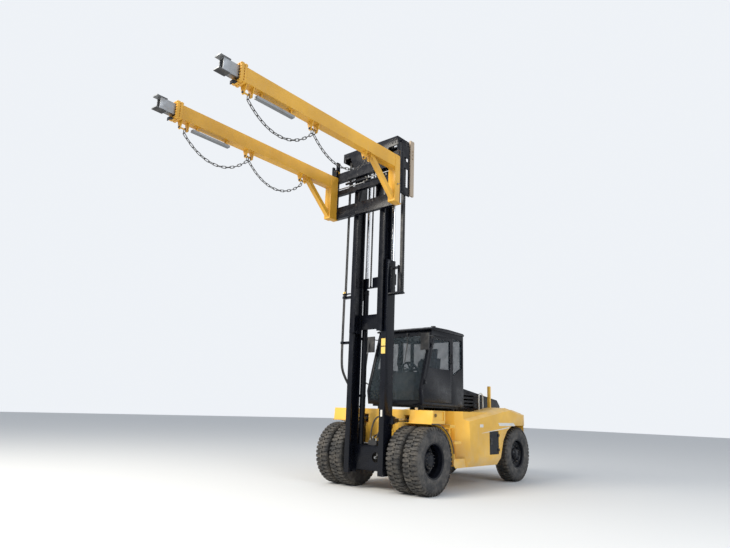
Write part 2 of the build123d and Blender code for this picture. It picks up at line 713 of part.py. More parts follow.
def crown_outline(drop=0.0):
    """The top edge of a flank from its tail to the deck, lowered by a drop."""
    tops = [TAIL_TOP, CROWN_END, CROWN]
    rise = SIDE_FRONT_X - (DECK_Z - WING_UPPER_Z) / WING_SLOPE
    return [(px, pz - drop) for px, pz in tops] + [(rise, DECK_Z)]


def side_body():
    """One flank from the cab steps to over the steer wheel, with a falling crown and bevelled edges."""
    tail_x = TAIL_CORNERS[-1][0]
    foot = [(SIDE_FRONT_X, DECK_Z), (lean_x(SIDE_BOTTOM_Z), SIDE_BOTTOM_Z)]
    outline = foot + arch_outline() + [(tail_x, REAR_CLEAR_Z)] + crown_outline()
    body = prism_y(outline, (SIDE_Y[0], SIDE_Y[2]))
    inside = block((tail_x - 50, FRAME_REAR_X - SEAT), (SIDE_Y[0] - 1, COUNTER_CORNERS[0][1] + SEAT), (0, 3000))
    return body - inside - strip_cut() - sill_bevel() - front_corner() - tail_corner() - wheel_room()


def strip_cut():
    """What is taken off the upper outside: a band that slopes up to the crown and down again."""
    outer = SIDE_Y[2] + 20
    fall = (WING_UPPER_Z - WING_LOWER_Z) * (outer - SIDE_Y[1]) / (SIDE_Y[2] - SIDE_Y[1])
    rising = [(SIDE_Y[1], 0), (outer, -fall), (outer, 500), (SIDE_Y[1], 500)]
    stations = [(SIDE_FRONT_X + 200, WING_UPPER_Z - 200 * WING_SLOPE), (CROWN[0], CROWN[1])]
    stations = stations + [CROWN_END, (TAIL_TOP[0] - 100, TAIL_TOP[1] - 13)]
    cut = Part()
    for first, second in zip(stations, stations[1:]):
        sections = []
        for px, pz in (first, second):
            sections.append(make_face(Polyline(*[(px, py, pz + dz) for py, dz in rising], close=True)))
        cut = cut + loft(sections, ruled=True)
    return cut


def sill_bevel():
    points = [(SIDE_Y[2] - SIDE_BEVEL, SIDE_BOTTOM_Z - 1), (SIDE_Y[2] + 1, SIDE_BEVEL_Z), (SIDE_Y[2] + 1, SIDE_BOTTOM_Z - 1)]
    return prism_x(points, (arch_outline()[0][0] - 300, SIDE_FRONT_X + 50))


def front_corner():
    """The slanted corner between the leaning front face and the outer skin."""
    start_y, back = SIDE_CORNER
    low = SIDE_BOTTOM_Z - 20
    x = lean_x(low)
    slope = back / (SIDE_Y[2] - start_y)
    outer = SIDE_Y[2] + 20
    base = [(x, start_y), (x - slope * (outer - start_y), outer), (x + 300, outer), (x + 300, start_y)]
    rise = DECK_Z + 200 - low
    face = make_face(Polyline(*[(px, py, low) for px, py in base], close=True))
    return extrude(face, amount=rise, dir=(lean_x(low + rise) - x, 0, rise))


def tail_corner():
    """What is taken off the outer rear so that the flank curves in towards the tail."""
    end_x, end_y = TAIL_CORNERS[-1]
    outline = TAIL_CORNERS + [(end_x - 100, end_y), (end_x - 100, SIDE_Y[2] + 50), (TAIL_CORNERS[0][0], SIDE_Y[2] + 50)]
    return prism_z(outline, (SIDE_BOTTOM_Z, CROWN[1] + 100))


def wheel_room():
    """What the steered wheel sweeps, so that nothing of the flank stands in it."""
    return block((STEER_X - 800, REAR_ARCH_X - 40), (SIDE_Y[0] - 1, 1000), (SIDE_BOTTOM_Z, REAR_CLEAR_Z))


def box_hinge_pin():
    """The line that the compartment's door turns about."""
    return BOX_DOOR_X[0] - 10, SIDE_Y[2] + 9


def side_body_left():
    box = block(BOX_DOOR_X, (SIDE_Y[2] - BOX_DEPTH, SIDE_Y[2] + 5), BOX_DOOR_Z)
    body = side_body() - box
    x, y = box_hinge_pin()
    for z in BOX_HINGE_Z:
        body = body + bar((x, y, z - 34), (x, y, z + 34), BOX_PIN_R, 8)
        for end in (z - 34, z + 20):
            body = body + block((x - 24, x + 5), (SIDE_Y[2] - 5, y + 6), (end, end + 14))
    return body


def box_door():
    """The dark door of the compartment in the left flank."""
    x = (BOX_DOOR_X[0] + MOVE, BOX_DOOR_X[1] - MOVE)
    z = (BOX_DOOR_Z[0] + MOVE, BOX_DOOR_Z[1] - MOVE)
    door = block(x, (SIDE_Y[2] - BOX_DOOR_T, SIDE_Y[2]), z)
    px, py = box_hinge_pin()
    for hz in BOX_HINGE_Z:
        leaf = bar((px, py, hz - 19), (px, py, hz + 19), BOX_PIN_R + 4, 8)
        leaf = leaf + block((px, x[0] + 40), (SIDE_Y[2] + 3, py + 3), (hz - 19, hz + 19))
        leaf = leaf + block((x[0] + 8, x[0] + 40), (SIDE_Y[2] - 5, py + 3), (hz - 19, hz + 19))
        door = door + leaf - bar((px, py, hz - 30), (px, py, hz + 30), BOX_PIN_R + RUN)
    return door


def guard_outline(steps=8):
    """The bent plate over and behind the twin tyres, in side view."""
    inner = []
    outer = []
    for number in range(steps + 1):
        angle = radians(90 + 90 * number / steps)
        inner.append((GUARD_R * cos(angle), AXLE_Z + GUARD_R * sin(angle)))
        outer.append(((GUARD_R + FENDER_T) * cos(angle), AXLE_Z + (GUARD_R + FENDER_T) * sin(angle)))
    low = AXLE_Z + GUARD_R
    return [(FENDER_FRONT_X, low + FENDER_T), (FENDER_FRONT_X, low)] + inner + outer[::-1]


def front_fender():
    """A curved guard over the twin tyres with a closed, slant-faced box on top and the deck's side panel."""
    low = AXLE_Z + GUARD_R + FENDER_T - 1
    sections = []
    for plan, z in ((FENDER_BOX_LOW, low), (FENDER_BOX_TOP, FENDER_BOX_Z)):
        rear = [(FENDER_BOX_REAR_X, plan[-1][1]), (FENDER_BOX_REAR_X, plan[0][1])]
        sections.append(make_face(Polyline(*[(px, py, z) for px, py in plan + rear], close=True)))
    box = loft(sections, ruled=True)
    outer = FENDER_BOX_TOP[-1][1]
    box = box - block(FENDER_RECESS_X, (outer - FENDER_RECESS_D, outer + 10), FENDER_RECESS_Z)
    hole_x, hole_z, hole_r = FENDER_HOLE
    box = box - disc_y(hole_x, (outer - FENDER_RECESS_D - 60, outer + 10), hole_z, hole_r, 12)
    return prism_y(guard_outline(), FENDER_Y) + box + side_panel()


def side_panel():
    """The wall from the fender back to the flank, beside the deck."""
    sill = STEPS[0][2] + 10
    outline = [(FENDER_TOWER_X, DECK_Z), (FENDER_TOWER_X, 1190), (-480, 1060), (-600, sill)]
    outline = outline + [(lean_x(sill) + SEAT, sill), (SIDE_FRONT_X + SEAT, DECK_Z)]
    wall = prism_y(outline, (DECK_Y + SEAT, DECK_Y + 60))
    room = disc_y(0, (0, 2000), AXLE_Z, GUARD_R + 2, 32)
    back = block((-420, FENDER_BOX_REAR_X + 5), (DECK_Y + 55, FENDER_BOX_TOP[-1][1] - 60), (1300, DECK_Z - 5))
    return wall + back - room


def steps():
    """Two deep treads and a bare kick plate on a slotted carrier in front of the flank."""
    low = KICK_Z[0] + 40
    high = STEPS[0][2]
    carrier = [(-560, high), (-560, 1190), (-715, 1060), (-715, 903), (-790, 860), (-790, low)]
    carrier = carrier + [(lean_x(low) + SEAT, low), (lean_x(high) + SEAT, high)]
    plate = prism_y(carrier, STEP_CARRIER_Y)
    for z in (650, 1050):
        plate = plate - block((-960, -860), (0, 2000), (z, z + 110))
    for front, rear, z, inner in STEPS:
        plate = plate + block((rear, front), (inner - 60, STEP_OUTER_Y), (z - STEP_T, z))
    tread = block((KICK_X[0] + 130, KICK_X[1]), (STEP_CARRIER_Y[0], KICK_Y), (KICK_Z[1] - 24, KICK_Z[1]))
    side = [(KICK_X[0], KICK_Z[1]), (KICK_X[0], KICK_Z[0]), (KICK_X[1] - 60, KICK_Z[0]), (KICK_X[1], KICK_Z[0] + 60)]
    kick = prism_y(side + [(KICK_X[1], KICK_Z[1])], (KICK_Y, KICK_Y + KICK_T))
    return plate + tread + kick


def engine():
    return block(ENGINE_X, (-ENGINE_Y, ENGINE_Y), ENGINE_Z)


def hood():
    """The sloping engine cover, open below."""
    rear, front = HOOD_X
    low = DECK_Z + SEAT
    outline = [(front, low), (front, HOOD_FRONT_Z), (rear + 140, HOOD_REAR_Z), (rear, HOOD_REAR_Z - 130), (rear, low)]
    shell = prism_y(outline, (-HOOD_Y, HOOD_Y))
    t = HOOD_T
    inner = [(front - t, low - 1), (front - t, HOOD_FRONT_Z - t), (rear + 140, HOOD_REAR_Z - t)]
    inner = inner + [(rear + t, HOOD_REAR_Z - 130 - t), (rear + t, low - 1)]
    shell = shell - prism_y(inner, (-HOOD_Y + t, HOOD_Y - t))
    ears = Part()
    for y in (-300, 300):
        ear = block((HOOD_HINGE[0], rear + 5), (y - 40, y + 40), (HOOD_HINGE[1] - 18, HOOD_HINGE[1] + 18))
        ear = ear + disc_y(HOOD_HINGE[0], (y - 40, y + 40), HOOD_HINGE[1], 18, 12)
        ears = ears + ear
    ears = ears - disc_y(HOOD_HINGE[0], (-400, 400), HOOD_HINGE[1], HOOD_PIN_R + RUN)
    for z in LOUVRE_Z:
        shell = shell - block(LOUVRE_X, (-HOOD_Y - 5, HOOD_Y + 5), (z, z + LOUVRE_H))
    return shell + ears


# Cab


def cab_outline(inset=0.0):
    """Side view of the cab, drawn in by a wall if asked."""
    i = inset
    return [
        (CAB_REAR_X + i, CAB_FLOOR_Z + i),
        (CAB_TOE_X - i, CAB_FLOOR_Z + i),
        (CAB_NOSE[0] - i, CAB_NOSE[1]),
        (CAB_BROW[0] - i, CAB_BROW[1] - i),
        (CAB_REAR_X + i, CAB_BROW[1] - i),
    ]


def cab_frame():
    """Posts, rails and lower panels; the doors, glass and roof fill the rest."""
    p = CAB_POST
    shell = prism_y(cab_outline(), (-CAB_Y, CAB_Y))
    room = prism_y(cab_outline(p), (-CAB_Y + p, CAB_Y - p))
    low = CAB_FLOOR_Z + FRONT_SILL
    high = CAB_BROW[1] - FRONT_HEADER
    windscreen = [(CAB_TOE_X + 200, low), (CAB_NOSE[0] + 200, CAB_NOSE[1]), (CAB_BROW[0] + 200, high)]
    windscreen = windscreen + [(CAB_BROW[0] - 75, high), (CAB_NOSE[0] - 75, CAB_NOSE[1] + 5), (CAB_TOE_X - 75, low)]
    front = prism_y(windscreen, (-CAB_Y + p, CAB_Y - p))
    door = prism_y(door_outline(0), (-CAB_Y - 5, CAB_Y + 5))
    quarters = prism_y(quarter_outline(0), (-CAB_Y - 5, CAB_Y + 5))
    rear = block((CAB_REAR_X - 5, CAB_REAR_X + p + 5), (-CAB_Y + p, CAB_Y - p), REAR_WINDOW_Z)
    return shell - room - front - door - quarters - rear + pair(door_hinge_pins())


def quarter_outline(gap):
    """The quarter light between the door and the rear post."""
    rear = CAB_REAR_X + CAB_POST + gap
    front = DOOR_REAR_X - CAB_POST - gap
    high = REAR_WINDOW_Z[1] - gap
    return [(rear, high), (rear, QUARTER_LOW_Z[0] + 1.3 * gap), (front, QUARTER_LOW_Z[1] + 1.3 * gap), (front, high)]


def door_outline(gap):
    """The door opening in side view, its front edge along the raked front post."""
    p = CAB_POST
    slope = POST_SLOPE
    top_x = CAB_NOSE[0] - (DOOR_HEAD_Z - CAB_NOSE[1]) * slope - p * 1.05
    nose_x = CAB_NOSE[0] - p * 1.05
    g = gap
    return [
        (DOOR_REAR_X + g, DOOR_SILL_Z + g),
        (CAB_TOE_X - p - g, DOOR_SILL_Z + g),
        (nose_x - g, CAB_NOSE[1]),
        (top_x - g, DOOR_HEAD_Z - g),
        (DOOR_REAR_X + g, DOOR_HEAD_Z - g),
    ]


def window_outline(gap):
    """The glass of the door in side view."""
    slope = POST_SLOPE
    low, high = DOOR_GLASS_Z
    front_low = CAB_NOSE[0] - (low - CAB_NOSE[1]) * slope - CAB_POST - DOOR_STILE
    front_high = CAB_NOSE[0] - (high - CAB_NOSE[1]) * slope - CAB_POST - DOOR_STILE
    g = gap
    return [
        (DOOR_REAR_X + 60 + g, low + g),
        (front_low - g, low + g),
        (front_high - g, high - g),
        (DOOR_REAR_X + 60 + g, high - g),
    ]


def door_hinge_line(z):
    """A point on the slanted line that a cab door turns about."""
    return (post_front_x(z) - CAB_POST * 1.05 - MOVE / 2, CAB_Y + DOOR_PIN_OUT, z)


def door_hinge_pins():
    """Two pins on plates outside the front post; the door's barrels turn on them."""
    pins = Part()
    for z in DOOR_HINGE_Z:
        low = door_hinge_line(z - DOOR_HINGE_LENGTH / 2)
        high = door_hinge_line(z + DOOR_HINGE_LENGTH / 2)
        pins = pins + bar(low, high, DOOR_PIN_R)
        for end in (z - DOOR_HINGE_LENGTH / 2 + 8, z + DOOR_HINGE_LENGTH / 2 - 8):
            x, y, _ = door_hinge_line(end)
            plate = block((x - 9, x + 50), (y - 9, y + 9), (end - 8, end + 8))
            pins = pins + plate + block((x + 14, x + 50), (CAB_Y - 5, y + 9), (end - 8, end + 8))
    return pins


def door_hinge_barrels():
    """The barrels by which a door hangs on its pins."""
    barrels = Part()
    half = DOOR_HINGE_LENGTH / 2 - 24
    for z in DOOR_HINGE_Z:
        low = door_hinge_line(z - half)
        high = door_hinge_line(z + half)
        barrels = barrels + bar(low, high, DOOR_PIN_R + 6)
        x, y, _ = door_hinge_line(z)
        barrels = barrels + block((x - 60, x - 8), (CAB_Y - 5, y + 4), (z - half, z + half - 6))
        barrels = barrels - bar(door_hinge_line(z - 2 * half), door_hinge_line(z + 2 * half), DOOR_PIN_R + RUN)
    return barrels


def cab_door():
    skin = prism_y(door_outline(MOVE), (CAB_Y - DOOR_T, CAB_Y)) + door_hinge_barrels()
    glass = prism_y(window_outline(0), (CAB_Y - DOOR_T - 15, CAB_Y + 5))
    x = (DOOR_REAR_X + 22, DOOR_REAR_X + 40)
    grip = block(x, (CAB_Y - 1, CAB_Y + 38), (GRIP_Z[0], GRIP_Z[0] + 16))
    grip = grip + block(x, (CAB_Y - 1, CAB_Y + 38), (GRIP_Z[1] - 16, GRIP_Z[1]))
    grip = grip + block(x, (CAB_Y + 26, CAB_Y + 38), GRIP_Z)
    return skin - glass + grip


def cab_door_glass():
    return prism_y(window_outline(SEAT), (CAB_Y - 26, CAB_Y - 26 + GLASS_T))


def cab_floor():
    """Floor plate on four rubber feet."""
    plate = block((CAB_REAR_X + 80, CAB_TOE_X - 60), (-CAB_Y + 80, CAB_Y - 80), (CAB_FLOOR_Z - CAB_FLOOR_T, CAB_FLOOR_Z - SEAT))
    feet = Part()
    for x in (CAB_REAR_X + 200, CAB_TOE_X - 200):
        feet = feet + pair(bar((x, CAB_Y - 180, DECK_Z + SEAT), (x, CAB_Y - 180, CAB_FLOOR_Z - CAB_FLOOR_T), 60, 12))
    return plate + feet


def cab_roof():
    """A pressed roof with a raised rim and cross ribs."""
    low = CAB_BROW[1] + SEAT
    outline = [
        (CAB_REAR_X - 15, low),
        (CAB_BROW[0] + 60, low),
        (CAB_BROW[0] + 70, low + 25),
        (CAB_BROW[0] - 30, CAB_ROOF_Z - 10),
        ((CAB_REAR_X + CAB_BROW[0]) / 2, CAB_ROOF_Z),
        (CAB_REAR_X + 30, CAB_ROOF_Z - 20),
        (CAB_REAR_X - 15, low + 30),
    ]
    panel = prism_y(outline, (-CAB_Y - ROOF_OVER, CAB_Y + ROOF_OVER))
    ribs = fused(block((CAB_REAR_X + 120, CAB_BROW[0] - 150), (y - 22, y + 22), (low + 20, CAB_ROOF_Z + 14)) for y in (-420, -140, 140, 420))
    boss = block((BEACON_X - 80, BEACON_X + 80), (-80, 80), (low + 20, CAB_ROOF_Z))
    return panel + ribs + boss


def cab_glass():
    """Windscreen in two panes, rear window and quarter lights."""
    p = CAB_POST
    slope = POST_SLOPE
    top = CAB_BROW[1] - FRONT_HEADER - SEAT
    top_x = CAB_NOSE[0] - (top - CAB_NOSE[1]) * slope
    y = (-CAB_Y + p + SEAT, CAB_Y - p - SEAT)
    upper = [(CAB_NOSE[0] - 20, CAB_NOSE[1] + 8), (top_x - 20, top), (top_x - 20 - GLASS_T, top)]
    upper = upper + [(CAB_NOSE[0] - 20 - GLASS_T, CAB_NOSE[1] + 8)]
    low = CAB_FLOOR_Z + FRONT_SILL + SEAT
    low_x = CAB_TOE_X + (low - CAB_FLOOR_Z) * (CAB_NOSE[0] - CAB_TOE_X) / (CAB_NOSE[1] - CAB_FLOOR_Z)
    lower = [(low_x - 20, low), (CAB_NOSE[0] - 20, CAB_NOSE[1] + 8), (CAB_NOSE[0] - 20 - GLASS_T, CAB_NOSE[1] + 8)]
    lower = lower + [(low_x - 20 - GLASS_T, low)]
    rear = block(
        (CAB_REAR_X + 20, CAB_REAR_X + 20 + GLASS_T), y, (REAR_WINDOW_Z[0] + SEAT, REAR_WINDOW_Z[1] - SEAT)
    )
    sides = pair(prism_y(quarter_outline(SEAT), (CAB_Y - 30, CAB_Y - 30 + GLASS_T)))
    return prism_y(upper, y) + prism_y(lower, y) + rear + sides


def seat():
    """A suspended seat: boxed base, cushion, leaning back and headrest."""
    x = SEAT_X
    half = SEAT_W / 2
    low, high = SEAT_Z
    base = block((x + 40, x + 520), (30 - half, half - 30), (CAB_INSIDE_Z + SEAT, low + 10))
    cushion = block((x, x + 550), (-half, half), (low, high))
    back = prism_y([(x, high - 10), (x + 120, high - 10), (x, SEAT_BACK_Z), (x - 100, SEAT_BACK_Z)], (20 - half, half - 20))
    rest = [(x - 20, SEAT_BACK_Z - 10), (x - 60, SEAT_HEAD_Z), (x - 130, SEAT_HEAD_Z), (x - 100, SEAT_BACK_Z - 10)]
    return base + cushion + back + prism_y(rest, (-140, 140))


def controls():
    """Dash, steering column and a spoked wheel."""
    front, rear = DASH_X
    low = CAB_INSIDE_Z + SEAT
    dash = prism_y([(front, low), (rear + 80, low), (rear, DASH_Z), (front - 50, DASH_Z)], (-DASH_Y, DASH_Y))
    x, _, z = WHEEL_AT
    column = bar((rear + 60, 0, DASH_Z - 110), (x, 0, z), 35, 10)
    rim = WHEEL_R - WHEEL_RIM
    ring = RegularPolygon(WHEEL_R, 20) - RegularPolygon(WHEEL_R - 2 * WHEEL_RIM, 20)
    rim_solid = extrude(ring, amount=WHEEL_RIM, both=True)
    hub = extrude(RegularPolygon(45, 12), amount=14, both=True)
    spokes = Box(2 * rim, 36, 18) + Box(36, 2 * rim, 18)
    return dash + column + Location(WHEEL_AT, (0, WHEEL_TILT, 0)) * (rim_solid + hub + spokes)


# Mast


def rail(outer, web, flange_width, x, flange, z):
    """A channel open towards the middle of the mast."""
    y_out = outer
    body = block((x[0], x[1]), (y_out - web, y_out), z)
    body = body + block((x[0], x[0] + flange), (y_out - flange_width, y_out), z)
    return body + block((x[1] - flange, x[1]), (y_out - flange_width, y_out), z)


def outer_mast():
    """The lower mast: two channels, cross plates, the feet on the pivot pins and the tilt lugs."""
    left = rail(OUTER_WEB_Y, OUTER_WEB, OUTER_FLANGE_W, OUTER_RAIL_X, OUTER_FLANGE, OUTER_Z)
    mast = pair(left + mast_foot() + tilt_lug() + lift_shelf() + slide_pads() + tie_gusset())
    tie_x = (OUTER_TIE_X[0] - 5, OUTER_TIE_X[1] + 5)
    notch = block(tie_x, TIE_NOTCH_Y, (TIE_NOTCH_Z, OUTER_TIE_Z[1] + 5))
    mast = mast + (block(OUTER_TIE_X, (-OUTER_WEB_Y, OUTER_WEB_Y), OUTER_TIE_Z) - pair(notch))
    foot = block(FOOT_PLATE_X, (-OUTER_WEB_Y + 1, OUTER_WEB_Y - 1), FOOT_PLATE_Z)
    hole = bar((FOOT_PLATE_X[0] - 5, FOOT_HOLE_Y, FOOT_HOLE_Z), (FOOT_PLATE_X[1] + 5, FOOT_HOLE_Y, FOOT_HOLE_Z), FOOT_HOLE_R, 16)
    return mast + (foot - hole) + chain_bracket()


def tie_gusset():
    """The curved web between the top cross plate and a rail."""
    inner = OUTER_WEB_Y - OUTER_FLANGE_W
    top = OUTER_TIE_Z[0] + 5
    curve = []
    for number in range(7):
        angle = radians(90 * number / 6)
        curve.append((inner - GUSSET_W * (1 - sin(angle)), top - GUSSET_DROP * (1 - cos(angle))))
    return prism_x([(inner + 60, top), (inner + 60, top - GUSSET_DROP), (inner, top - GUSSET_DROP)] + curve[::-1][1:], GUSSET_X)


def mast_foot():
    """A thick lug behind each rail, bored for the pivot pin."""
    y = (LUG_PLATES[0][1] + SEAT, LUG_PLATES[1][0] - SEAT)
    lug = disc_y(PIVOT_X, y, PIVOT_Z, LUG_R, 12) + block((PIVOT_X, OUTER_RAIL_X[0] + 5), y, (PIVOT_Z - LUG_R, PIVOT_Z + LUG_R))
    return lug - disc_y(PIVOT_X, (y[0] - 5, y[1] + 5), PIVOT_Z, PIVOT_PIN_R + RUN)


def tilt_lug():
    """Two ears on the outside of a rail with the pin for the tilt cylinder's rod."""
    x, z = TILT_MAST
    inner = TILT_Y - TILT_EYE_W / 2 - MOVE
    outer = TILT_Y + TILT_EYE_W / 2 + MOVE
    root = block((OUTER_RAIL_X[0] + 60, OUTER_RAIL_X[0] + 110), (OUTER_WEB_Y - 5, outer + TILT_LUG), (z - 70, z + 70))
    lug = root
    for y in ((inner - TILT_LUG, inner), (outer, outer + TILT_LUG)):
        lug = lug + block((x, OUTER_RAIL_X[0] + 65), y, (z - 36, z + 36)) + disc_y(x, y, z, 36, 12)
    return lug + disc_y(x, (inner - TILT_LUG, outer + TILT_LUG), z, TILT_PIN_R, 10)


def lift_shelf():
    """The bracket that a lift cylinder stands on."""
    return block(
        (LIFT_X - LIFT_BARREL_R, OUTER_RAIL_X[0] + 5),
        (LIFT_Y - LIFT_BARREL_R, LIFT_Y + LIFT_BARREL_R),
        (LIFT_FOOT_Z - 25, LIFT_FOOT_Z - SEAT),
    )


def slide_pads():
    """Wear pads near the top of the channel, against the inner rail."""
    gap = (INNER_REAR_FLANGE_Y[1] + SEAT, OUTER_WEB_Y - OUTER_WEB + 1)
    return block((INNER_RAIL_X[0] + 4, INNER_RAIL_X[0] + 31), gap, (OUTER_Z[1] - 150, OUTER_Z[1]))


def chain_bracket():
    """The bracket on the left rail that holds the lower end of the energy chain, open to the outside."""
    z = TROUGH_Z
    y = (ENERGY_CHAIN_Y[0] - MOVE, ENERGY_CHAIN_Y[1])
    x = (ENERGY_CHAIN_X[0] - 50, ENERGY_CHAIN_X[1] + 40)
    shelf = block((x[0] + 20, x[1]), (OUTER_WEB_Y - 5, y[1]), (z, z + TROUGH_FLOOR))
    inside = block(x, (y[0] - 12, y[0]), (z, z + 560))
    front = block((x[1] - 12, x[1]), (y[0] - 12, y[1]), (z, HEAD_Z[0] - LIFT_STROKE - 10))
    stand = block((x[0] + 20, ENERGY_CHAIN_X[1]), (OUTER_WEB_Y - 5, OUTER_WEB_Y + 45), (z, z + 570))
    tie = block((x[0] + 20, ENERGY_CHAIN_X[1]), (OUTER_WEB_Y - 5, y[0] - 5), (z + 520, z + 550))
    return shelf + inside + front + stand + tie


def inner_mast():
    """The rails that rise inside the outer mast, with their cross plate, the crosshead and the chain guide."""
    x0, x1 = INNER_RAIL_X
    left = block((x0, x1), INNER_WEB_Y, INNER_Z)
    left = left + block((x0, x0 + INNER_FLANGE), INNER_REAR_FLANGE_Y, INNER_Z)
    left = left + block((x1 - INNER_FLANGE, x1), INNER_FLANGE_Y, INNER_Z)
    tie = block(INNER_TIE_X, (-INNER_TIE_W, INNER_TIE_W), INNER_TIE_Z)
    return pair(left) + tie + crosshead() + chain_guide()


def crosshead():
    """An open box of plates over the rails, wide enough for the hose pulley outside them."""
    t = HEAD_WALL
    x0, x1 = HEAD_X
    low, high = HEAD_Z
    apron = [(-HEAD_Y, high), (-HEAD_Y, low), (-HEAD_APRON_Y - 120, low), (-HEAD_APRON_Y, low - HEAD_APRON_DROP)]
    front = prism_x(apron + [(-py, pz) for py, pz in apron[::-1]], (x1 - t, x1))
    rear = block((x0, x0 + t), (-HEAD_Y, HEAD_Y), HEAD_Z)
    ends = pair(block((x0, x1), (HEAD_Y - t, HEAD_Y), HEAD_Z))
    slot_x = (OUTER_RAIL_X[0] - MOVE, OUTER_RAIL_X[1] + MOVE)
    slot_y = (OUTER_WEB_Y - OUTER_FLANGE_W - MOVE, OUTER_WEB_Y + MOVE)
    top = block((x0, x1), (-HEAD_Y, HEAD_Y), (high - t, high)) - pair(block(slot_x, slot_y, (high - t - 5, high + 5)))
    window = block((x1 - t - 5, x1 + 5), (HOSE_PULLEY_Y - 75, HOSE_PULLEY_Y + 75), (low - 5, low + 70))
    ribs = Part()
    for y in (CHAIN_PULLEY_Y - PULLEY_W / 2 - 8 - RIB_T, CHAIN_PULLEY_Y + PULLEY_W / 2 + 8):
        ribs = ribs + pair(block((x0 + t - 1, x1 - t + 1), (y, y + RIB_T), (low, high - t + 1)))
    feet = pair(block((LIFT_X - 45, x0 + 15), (LIFT_Y - 45, LIFT_Y + 45), (low, low + 50)))
    return front - window + rear + ends + top + ribs + feet


def pulley(x, y, z, radius, width):
    """A grooved wheel with its pin."""
    half = width / 2
    groove = radius - PULLEY_GROOVE
    bore = 22
    outline = [(y - half, bore), (y - half, radius), (y - half + 8, radius), (y - half + 8, groove)]
    outline = outline + [(y + half - 8, groove), (y + half - 8, radius), (y + half, radius), (y + half, bore)]
    return turned_y(outline, x, z, PULLEY_FLATS) + disc_y(x, (y - half - 8, y + half + 8), z, bore + 4, 12)


def head_pulleys():
    wheels = pair(pulley(CHAIN_PULLEY_X, CHAIN_PULLEY_Y, CHAIN_PULLEY_Z, PULLEY_R, PULLEY_W - 2 * SEAT))
    y = HOSE_PULLEY_Y - 28
    x = HOSE_X - HOSE_R - SEAT - (HOSE_PULLEY_R - PULLEY_GROOVE)
    hose = pulley(x, y, CHAIN_PULLEY_Z, HOSE_PULLEY_R, 80)
    holder = block((x - 15, x + 15), (y - 56, y - 46), (CHAIN_PULLEY_Z - 30, HEAD_Z[1] - HEAD_WALL - SEAT))
    return wheels + hose + holder


def lift_barrels():
    barrel = bar((LIFT_X, LIFT_Y, LIFT_FOOT_Z), (LIFT_X, LIFT_Y, LIFT_TOP_Z), LIFT_BARREL_R, LIFT_FLATS)
    bore = bar((LIFT_X, LIFT_Y, LIFT_FOOT_Z + 40), (LIFT_X, LIFT_Y, LIFT_TOP_Z + 5), LIFT_ROD_R + RUN, LIFT_FLATS)
    return pair(barrel - bore)


def lift_rods():
    return pair(bar((LIFT_X, LIFT_Y, LIFT_ROD_FOOT_Z), (LIFT_X, LIFT_Y, HEAD_Z[0] - SEAT), LIFT_ROD_R, LIFT_FLATS))


def chain_reach():
    """Distance from a head pulley's middle to the inside of its chain."""
    return PULLEY_R - PULLEY_GROOVE + SEAT


def chain_run(x, z):
    """One straight leaf chain on each side of the middle."""
    return pair(block(x, (CHAIN_PULLEY_Y - CHAIN_W / 2, CHAIN_PULLEY_Y + CHAIN_W / 2), z))


def rear_chains():
    """The chain ends that run down behind the mast to the outer mast's top cross plate."""
    x = CHAIN_PULLEY_X - chain_reach()
    return chain_run((x - CHAIN_T, x), (TIE_NOTCH_Z + SEAT, CHAIN_PULLEY_Z - SEAT))


def front_chains():
    """The chains over the pulleys and down to the carriage."""
    y = (CHAIN_PULLEY_Y - CHAIN_W / 2, CHAIN_PULLEY_Y + CHAIN_W / 2)
    reach = chain_reach()
    outline = [(y[0], reach), (y[0], reach + CHAIN_T), (y[1], reach + CHAIN_T), (y[1], reach)]
    arch = turned_y(outline, CHAIN_PULLEY_X, CHAIN_PULLEY_Z, PULLEY_FLATS)
    arch = arch & block((0, 1000), (0, 1000), (CHAIN_PULLEY_Z, CHAIN_PULLEY_Z + 1000))
    x = CHAIN_PULLEY_X + reach
    return pair(arch) + chain_run((x, x + CHAIN_T), (ANCHOR_Z + ANCHOR_H, CHAIN_PULLEY_Z + 1))


def chain_guide():
    """The side frame under the crosshead's left end, open in two windows."""
    frame = block(GUIDE_X, GUIDE_Y, GUIDE_Z)
    for z in GUIDE_WINDOWS_Z:
        frame = frame - block(GUIDE_WINDOW_X, (GUIDE_Y[0] - 5, GUIDE_Y[1] + 5), z)
    neck = block((GUIDE_X[0] + 20, GUIDE_X[1] - 40), (HEAD_Y - 5, GUIDE_Y[1]), (HEAD_Z[0], HEAD_Z[0] + 130))
    return frame + neck


def hose_strip():
    """The pale hose duct on the rear edge of the guide, with its brass unions."""
    duct = block(STRIP_X, (GUIDE_Y[0], GUIDE_Y[1] + 20), (GUIDE_Z[0] + 30, HEAD_Z[1]))
    unions = Part()
    x = (STRIP_X[0] + STRIP_X[1]) / 2
    for z in UNIONS_Z:
        unions = unions + bar((x, GUIDE_Y[1] + 15, z), (x, GUIDE_Y[1] + 48, z), 18, 6)
    return duct + unions


def energy_chain():
    """A hanging plastic chain with a raised side plate at each link."""
    core = block((ENERGY_CHAIN_X[0] + 6, ENERGY_CHAIN_X[1] - 6), (ENERGY_CHAIN_Y[0] + 6, GUIDE_Y[0] - SEAT), ENERGY_CHAIN_Z)
    links = Part()
    z = ENERGY_CHAIN_Z[0]
    while z + ENERGY_LINK_PITCH < ENERGY_CHAIN_Z[1]:
        links = links + block(ENERGY_CHAIN_X, ENERGY_CHAIN_Y, (z, z + ENERGY_LINK_PITCH * 0.62))
        z += ENERGY_LINK_PITCH
    return core + links


def hose_pair(x, z):
    return [bar((x, y, z[0]), (x, y, z[1]), HOSE_R, HOSE_FLATS) for y in HOSE_Y]


